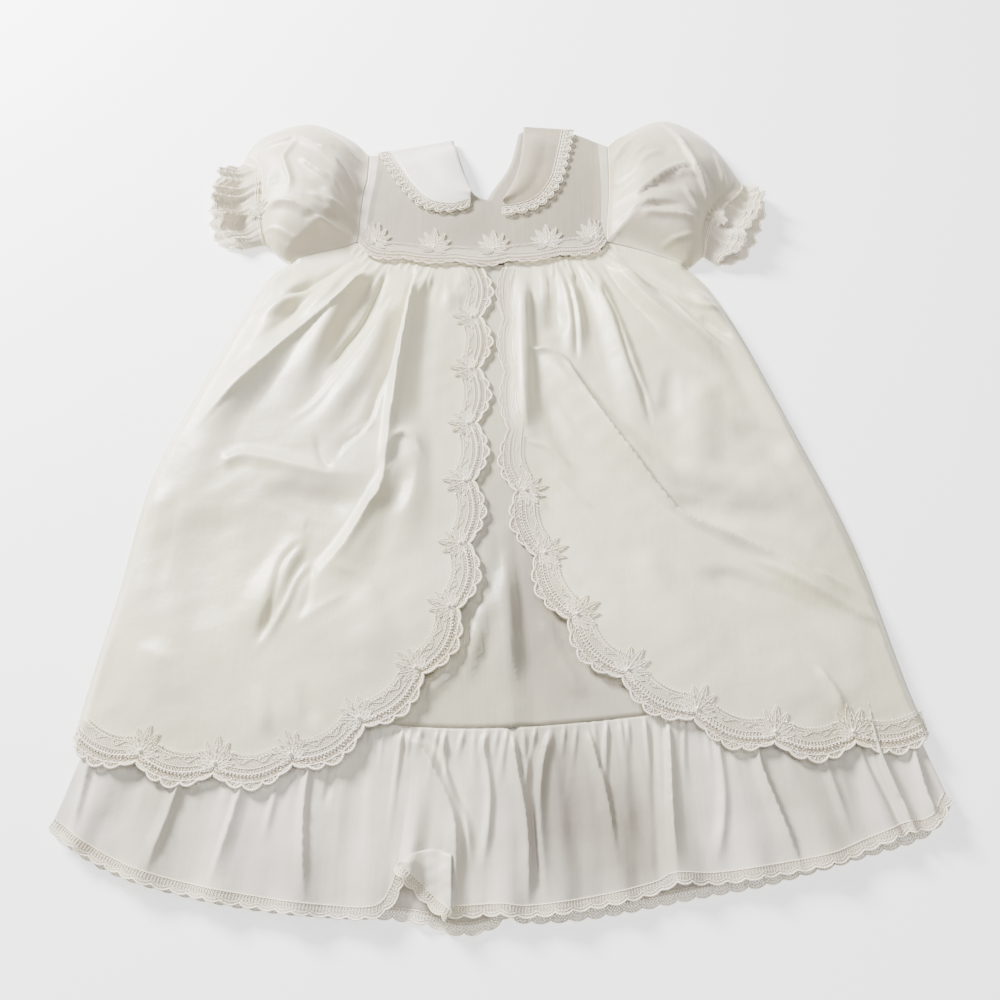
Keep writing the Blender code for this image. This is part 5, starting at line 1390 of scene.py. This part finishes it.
def bodice_top(points):
    """Top of the bodice, with the seam allowances that show as low bands along the armholes."""
    uneven = ripple(points, "bodice") * smoothstep((points[..., 1] - 208) / 20)
    z = bodice_low(points) + CLOTH + uneven
    for side in SIGN:
        gap = nearest(points, curve(ARM_SIDE[side], 5))[0]
        z = z + SEAM_BAND_Z * (1 - smoothstep((gap - SEAM_BAND) / 1.2))
    return z


def bodice():
    """The bodice's front, with its seam bands in a denser finish, and the two halves of its back."""
    across, along = (count // STEP for count in BODICE_GRID)
    low = spread(curve(WAIST) - (0, SEAM_LAP), across)
    line = np.vstack([curve(SHOULDER["left"])[:-1], curve(NECK)[:-1], curve(SHOULDER["right"])])
    top = at_x(line, np.linspace(line[0, 0], line[-1, 0], across + 1))
    grid = patch(low, top, straight(low[0], top[0], along), straight(low[-1], top[-1], along))
    for side, column, sign in (("left", 0, 1), ("right", -1, -1)):
        arm = spread(curve(ARM_SIDE[side])[::-1], along) - (sign * SEAM_LAP, 0)
        arm[:, 1] = np.maximum(arm[:, 1], low[column, 1])
        fade = np.clip(1 - np.linspace(0, 1, across + 1) / 0.16, 0, 1)[::sign]
        grid += (arm - grid[:, column])[:, None] * fade[None, :, None]
    front = flat_panel("bodice_front", grid, bodice_top, PLAIN)
    front.data.materials.append(PLAIN_DOUBLE)
    column = np.arange(across)
    double = np.minimum(column, across - 1 - column) < round(SEAM_BAND / BODICE_WIDTH * across)
    front.data.polygons.foreach_set("material_index", np.tile(double, along).astype(np.int32))
    across, along = BODICE_BACK_GRID
    for side, sign in SIGN.items():
        edge = spread(curve(BACK_EDGE[side]), along)
        arm = spread(curve(ARM_SIDE[side]), along) + (sign * SEAM_LAP, -SEAM_GAP)
        waist = curve(WAIST)[::sign]
        waist = waist[sign * (waist[:, 0] - edge[-1, 0]) < 0]
        waist = np.vstack([waist, at_x(curve(WAIST), [edge[-1, 0]])])
        top = spread(curve(SHOULDER[side])[::sign] - (0, SEAM_GAP), across)
        foot = spread(waist + (0, WAIST_GAP), across)
        arm[0], arm[-1], edge[0], edge[-1] = top[0], foot[0], top[-1], foot[-1]
        grid = patch(top, foot, arm, edge)
        z = BACK_SECOND + CLOTH + ripple(grid, "bodice_back")
        add_panel("bodice_back_" + side, raised(grid, z), PLAIN)


def collar_rows(side, reaches):
    """Outside of the collar, or of its lace at given reaches past the edge, from front to back."""
    shape = COLLAR[side]
    front, wrap, back = COLLAR_ROWS
    neck, outer = spread(curve(shape["neck"]), front), spread(curve(shape["outer"]), front)
    back_neck, back_outer = spread(curve(shape["back_neck"]), back), spread(curve(shape["back_outer"]), back)
    rows = [(a, b, 0.0, k / front) for k, (a, b) in enumerate(zip(neck, outer))]
    rows += [(neck[-1], outer[-1], math.pi * step / wrap, 1.0) for step in range(1, wrap)]
    rows += [(a, b, math.pi, 1.0) for a, b in zip(back_neck, back_outer)]
    out = []
    for a, b, turn, share in rows:
        width = np.linalg.norm(b - a)
        v = np.linspace(0, 1, COLLAR_COLUMNS) if reaches is None else 1 + reaches / width
        plan = a + (b - a) * v[:, None]
        if turn == 0.0:
            z = np.maximum(bodice_low(plan) + CLOTH + COLLAR_LIFT, WRAP_Z + WRAP_RADIUS) + CLOTH
            if reaches is None:
                rise = smoothstep((1 - share) / 0.25)
                crown = 0.55 + 0.45 * np.sin(np.pi * np.minimum(1, v * 1.6))
                z = z + COLLAR_CROWN * rise * crown * (1 - v ** 3)
                z = z + ripple(plan, "collar") * rise * (1 - v ** 4)
        else:
            radius = WRAP_RADIUS + CLOTH
            plan = plan + np.array(shape["normal"]) * radius * math.sin(turn)
            z = np.full(len(v), max(0.5, WRAP_Z + radius * math.cos(turn)))
        out.append(raised(plan, z))
    return np.array(out)


def collar(side):
    """A collar half and the looped lace round it."""
    rows = collar_rows(side, None)
    add_panel("collar_" + side, rows, COLLAR_FINISH[side], up=COLLAR_COLUMNS * 10)
    reach = np.linspace(-3, COLLAR_LACE, 12)
    strip = collar_rows(side, reach)
    run = run_of(strip[:, 3])
    total = run[-1]
    behind_from = COLLAR_ROWS[0] + COLLAR_ROWS[1] / 2

    def seat(local):
        s = np.interp(local[:, 0], run, np.arange(len(run)))
        d = np.interp(local[:, 1], reach, np.arange(len(reach)))
        i, j = np.minimum(s.astype(int), len(run) - 2), np.minimum(d.astype(int), len(reach) - 2)
        p, q = (s - i)[:, None], (d - j)[:, None]
        a = strip[i, j] * (1 - p) + strip[i + 1, j] * p
        b = strip[i, j + 1] * (1 - p) + strip[i + 1, j + 1] * p
        point = a * (1 - q) + b * q
        behind = np.maximum(point[:, 2] - 0.3 * local[:, 2], COLLAR_BEHIND_Z)
        point[:, 2] = np.where(s > behind_from, behind, point[:, 2] + local[:, 2])
        return point

    net, threads = Trim(seat), Trim(seat)
    count = round(total / COLLAR_LOOP)
    unit = total / count
    s = np.arange(0, total, 0.8 * STEP)
    edge = COLLAR_LACE_DEPTH + COLLAR_LOOP_DEPTH * np.abs(np.sin(np.pi * s / unit)) ** 0.8
    net.strip(s, -1.2, edge - 1.4, 4, 0.3, turned=True)
    threads.line(s, edge, 0.4, COLLAR_THREADS["edge"])
    threads.line(s, -1.0, 0.7, COLLAR_THREADS["foot"])
    threads.line(s, 1.4 + 0.5 * np.sin(4 * np.pi * s / unit), 0.6, COLLAR_THREADS["wave"])
    turn = np.linspace(0, 2 * math.pi, 13)
    for k in range(count):
        for shift, depth, wide, tall, radius, sides in COLLAR_LOOPS:
            middle = (k + 0.5 + shift) * unit
            along = np.clip(middle + wide * np.sin(turn), 0.2, total - 0.2)
            threads.line(along, depth + tall * np.cos(turn), 0.6, radius, sides)
    build_lace("collar_lace_" + side, net, (COLLAR_NET,), thread=threads)


# Sleeves and cuffs

def round_stops():
    """Stops across a flattened tube, closer at its two edges."""
    return 0.5 - 0.5 * np.cos(np.pi * np.linspace(0, 1, SLEEVE_GRID[0] // STEP + 1))


def tube_points(top, over, low, under):
    """Rings of a flattened tube: over the top, then back underneath."""
    return np.concatenate([raised(top, over), raised(low, under)[:, -2:0:-1]], 1)


def add_tube(name, points, material, shell=SHELL):
    rows, columns = points.shape[:2]
    up = columns * (rows // 2) + columns // 4
    add_cloth(name, points.reshape(-1, 3), quads(rows, columns, closed=True), material, up, shell)


def round_swell(v):
    """Share of a tube's height at stops across it, 0 at its two edges."""
    swell = np.sin(np.pi * v) ** 0.55
    swell[[0, -1]] = 0
    return swell


def sleeve(side):
    """A puffed sleeve, gathered at the armhole and the cuff, with its cuff and leaf."""
    v = round_stops()
    along = SLEEVE_GRID[1] // STEP
    share = np.linspace(0, 1, along + 1)
    start = np.vstack([curve(ARM_SIDE[side]), curve(ARM_UNDER[side])[1:]])
    start, end = spread(start, None, v), spread(curve(SLEEVE_END[side]), None, v)
    top, low = spread(curve(SLEEVE_TOP[side]), along), spread(curve(SLEEVE_LOW[side]), along)
    top[0], low[0], top[-1], low[-1] = start[0], start[-1], end[0], end[-1]
    grid = patch(start, end, top, low, u=v)
    name = "sleeve_" + side
    swell = np.sin(np.pi * np.minimum(1, share / SLEEVE_PUFF_END)) ** 0.7
    height = SLEEVE_HEIGHT["armhole"] * (1 - share) + SLEEVE_HEIGHT["cuff"] * share
    height = height + SLEEVE_HEIGHT["puff"] * swell
    ends = smoothstep(np.minimum(share, 1 - share) / 0.12)[:, None]
    wave = all_folds(name, grid) * ends
    rng = np.random.default_rng(SEED[name])
    for end_share, (count, reach, tall) in zip((share, 1 - share), SLEEVE_GATHERS):
        middle = 0.02
        while middle < 0.98:
            size = rng.uniform(0.3, 1)
            gap = np.abs(v[None] - middle - rng.normal(0, 0.03) * end_share[:, None])
            half_width = rng.uniform(0.35, 0.6) / count * (1 + 2.5 * end_share[:, None])
            fade = smoothstep(1 - end_share[:, None] / (reach * size + 0.08))
            wave = wave + tall * rng.uniform(0.4, 1) * crest(gap, half_width) * fade
            middle += rng.uniform(0.6, 1.4) / count
    bulge = round_swell(v)
    over = SLEEVE_MID + (height[:, None] - SLEEVE_MID - 1.0) * bulge
    seam = np.where(start[:, 1] > ARM_CORNER_Y, bodice_top(start), over_top(side)(start)) + 0.15
    seam[[0, -1]] = SLEEVE_MID
    over = seam + (over - seam) * smoothstep(share / 0.3 + 0.1)[:, None]
    wave = wave + ripple(grid, "sleeve") * ends
    over = over + wave * bulge * smoothstep(share / 0.03)[:, None]
    over = np.maximum(over, SLEEVE_MID)
    under = np.maximum(SLEEVE_MID * (1 - bulge ** 0.4), 0.05) * np.ones_like(over)
    add_tube(name, tube_points(grid, over, grid, under), SLEEVE)
    cuff(side)
    leaf_at_cuff(side, grid, over)


def cuff(side):
    """Frilled cuff of net with thread edges, its upper layer drawn back from the opening."""
    v = round_stops()
    share = np.linspace(0, 1, CUFF_ROWS // STEP + 1)[:, None]
    start, end = spread(curve(SLEEVE_END[side]), None, v), spread(curve(CUFF_EDGE[side]), None, v)
    first = start + (end - start) * (CUFF_GAP / np.linalg.norm(end - start, axis=1))[:, None]
    rng = np.random.default_rng(SEED["cuff_" + side])
    bulge = round_swell(v)
    sway = sum(rng.uniform(0.5, 1) * np.sin(2 * np.pi * (k * v + rng.uniform())) for k in (2, 3, 5, 8))
    drawn = 1 - (0.2 + 0.055 * sway) * smoothstep(bulge / 0.7)
    frill = 1 + 0.05 * np.sin(2 * np.pi * 7 * v) * bulge
    top = first[None] + (end - first)[None] * (share * drawn)[..., None]
    low = first[None] + (end - first)[None] * (share * frill)[..., None]
    height = SLEEVE_HEIGHT["cuff"] + (CUFF_HEIGHT - SLEEVE_HEIGHT["cuff"]) * share
    height = height - CUFF_DIP * np.sin(np.pi * share) ** 2
    wave = np.zeros_like(top[..., 0])
    middle = 0.03
    while middle < 0.97:
        sign = 1 if rng.uniform() < 0.5 else -1
        wide = rng.uniform(0.022, 0.045)
        wave = wave + sign * rng.uniform(1.4, 3.4) * bell(np.abs(v[None] - middle), wide) * (0.3 + share)
        middle += rng.uniform(0.03, 0.06)
    over = SLEEVE_MID + (height - SLEEVE_MID + wave - 0.8) * bulge
    curl = share ** 2 * (1.5 + 2.2 * np.abs(np.sin(9 * np.pi * v))) * bulge
    under = np.maximum(SLEEVE_MID * (1 - bulge ** 0.4), 0.05) + curl
    points = tube_points(top, over, low, under)
    name = "cuff_lace_" + side
    add_tube(name, points, EDGE_NET, shell=0.3)
    closed = np.concatenate([points, points[:, :1]], 1)
    threads = Trim(lambda local: local)
    for row, radius in CUFF_CORDS:
        line = closed[row].copy()
        line[:, 2] = np.maximum(line[:, 2] + 0.25, radius)
        threads.cord(line, radius, 4)
    rim = closed[-1]
    out = rim - closed[-2]
    out /= np.linalg.norm(out, axis=1)[:, None] + 1e-9
    stops = np.arange(0, run_of(rim)[-1], 0.7 * STEP)
    reach = CUFF_LOOP_DEPTH * np.abs(np.sin(np.pi * stops / CUFF_LOOP)) ** 0.8
    loops = at(rim, stops) + at(rim, stops, out) * reach[:, None]
    loops[:, 2] = np.maximum(loops[:, 2], CUFF_FLOOR)
    threads.cord(loops, 0.5, 4)
    EXTRAS[name] = [threads.build(name + "_thread", THREAD)]


def leaf_at_cuff(side, grid, over):
    """The lace's leaf that points from the cuff into the sleeve."""
    (x, y), turn = CUFF_LEAF[side]

    def seat(local):
        cos, sin = math.cos(turn), math.sin(turn)
        s, d, h = local.T
        plan = np.column_stack([x + s * cos + d * sin, y - s * sin + d * cos])
        return raised(plan, height_on(grid, over, plan) + 0.3 + h)

    leaves, threads = Trim(seat), Trim(seat)
    leaves.motif(threads, (0.0, 0.0), 0.8)
    name = "cuff_lace_" + side
    EXTRAS[name] += [leaves.build(name + "_leaf", LEAF), threads.build(name + "_leaf_thread", THREAD)]


# Lace over the waist seam

def waist_lace():
    """Scalloped lace over the waist seam, with leaves that stand on it."""
    line = curve(WAIST)[2:-2]
    total = run_of(line)[-1]
    unit = total / WAIST_SCALLOPS
    rng = np.random.default_rng(SEED["waist"])

    def seat(local):
        s = np.clip(local[:, 0], 0, total)
        base = at(line, s)
        normal = at(line, s, 0.25 * sideways(line))
        normal[:, 1] = 1
        depth = local[:, 1] + WAIST_LACE_UP + 2 * s / total
        plan = base + normal * depth[:, None]
        up = smoothstep((depth + 2) / 8)
        hang = WAIST_LACE_HANG - 1.7 * bell(np.abs(plan[:, 0] + 7), 18)
        z = hang * (1 - up) + (bodice_top(plan) + 0.5) * up
        return raised(plan, z + local[:, 2])

    net, threads, leaves, beads = Trim(seat), Trim(seat), Trim(seat), Trim(seat)
    s = np.arange(0, total, 1.0 * STEP)
    phase = np.mod(s / unit, 1)
    low = WAIST_LACE_LOW - WAIST_LACE_BOW * np.sin(np.pi * phase) ** 0.8
    edge = low - sum((0.9 + 0.45 * tall) * lobe(phase, a, b) for a, b, tall in SUB_LOBES)
    net.strip(s, edge, WAIST_LACE_TOP, 9)
    threads.line(s, edge, 0.3, WAIST_THREADS["edge"])
    for offset, radius in WAIST_CORDS:
        threads.line(s, low + offset, 0.35, radius)
    threads.line(s, WAIST_LACE_TOP, 0.3, WAIST_THREADS["top"])
    for place in np.arange(1.0, total, BEAD_PITCH):
        here = math.sin(math.pi * ((place / unit) % 1)) ** 0.8
        beads.bead((place, WAIST_LACE_LOW - WAIST_LACE_BOW * here + 3.6, 0.6), WAIST_BEADS["row"])
        beads.bead((place, 5.4 + rng.uniform(-0.3, 0.3), 0.5), WAIST_BEADS["inner"])
    for place in WAIST_MOTIFS:
        stop = np.interp(place, line[:, 0], run_of(line))
        leaves.motif(threads, (stop, 3.5), 1.12)
        beads.bead((stop, 4.6, 0.9), WAIST_BEADS["leaf"])
    build_lace("waist_lace", net, (NET, FINE_NET), thread=threads, leaves=leaves, beads=beads)


# Floor, light and camera

def floor():
    mesh = bpy.data.meshes.new("floor")
    corners = [(x * FLOOR_SIZE, y * FLOOR_SIZE, -FLOOR_DROP) for x, y in ((-1, -1), (1, -1), (1, 1), (-1, 1))]
    mesh.from_pydata(corners, [], [(0, 1, 2, 3)])
    made = bpy.data.objects.new("floor", mesh)
    bpy.context.collection.objects.link(made)
    material = bpy.data.materials.new("floor")
    material.use_nodes = True
    shader = material.node_tree.nodes["Principled BSDF"]
    shader.inputs["Base Color"].default_value = FLOOR_COLOUR
    shader.inputs["Roughness"].default_value = 0.9
    shader.inputs["Emission Color"].default_value = (1, 1, 1, 1)
    shader.inputs["Emission Strength"].default_value = FLOOR_GLOW
    mesh.materials.append(material)


def area_light(name, place, size, power, colour):
    """A round lamp that looks at the middle of the gown."""
    data = bpy.data.lights.new(name, "AREA")
    data.shape = "DISK"
    data.size = size
    data.energy = power
    data.color = colour
    made = bpy.data.objects.new(name, data)
    made.location = place
    x, y, z = place
    made.rotation_euler = (math.atan2(math.hypot(x, y), z), 0, math.atan2(-y, -x) - math.pi / 2)
    bpy.context.collection.objects.link(made)


def light_and_camera():
    scene = bpy.context.scene
    scene.world = bpy.data.worlds.new("studio")
    scene.world.use_nodes = True
    sky = scene.world.node_tree.nodes["Background"]
    sky.inputs["Color"].default_value, sky.inputs["Strength"].default_value = WORLD
    for name, (place, size, power, colour) in LIGHTS.items():
        area_light(name, place, size, power, colour)
    data = bpy.data.cameras.new("camera")
    data.sensor_width = 36
    data.lens = CAMERA_LENS
    made = bpy.data.objects.new("camera", data)
    tilt = math.radians(CAMERA_TILT)
    x, y, _ = -MIDDLE * MM
    made.location = (x, y - CAMERA_FAR * math.cos(tilt), CAMERA_FAR * math.sin(tilt))
    made.rotation_euler = (math.pi / 2 - tilt, 0, 0)
    bpy.context.collection.objects.link(made)
    scene.camera = made


def main():
    overskirt_back()
    skirt()
    for half in ("back", "front"):
        ruffle(half)
    bodice()
    for side in SIGN:
        overskirt(side)
        sleeve(side)
        collar(side)
    waist_lace()
    floor()
    light_and_camera()


main()
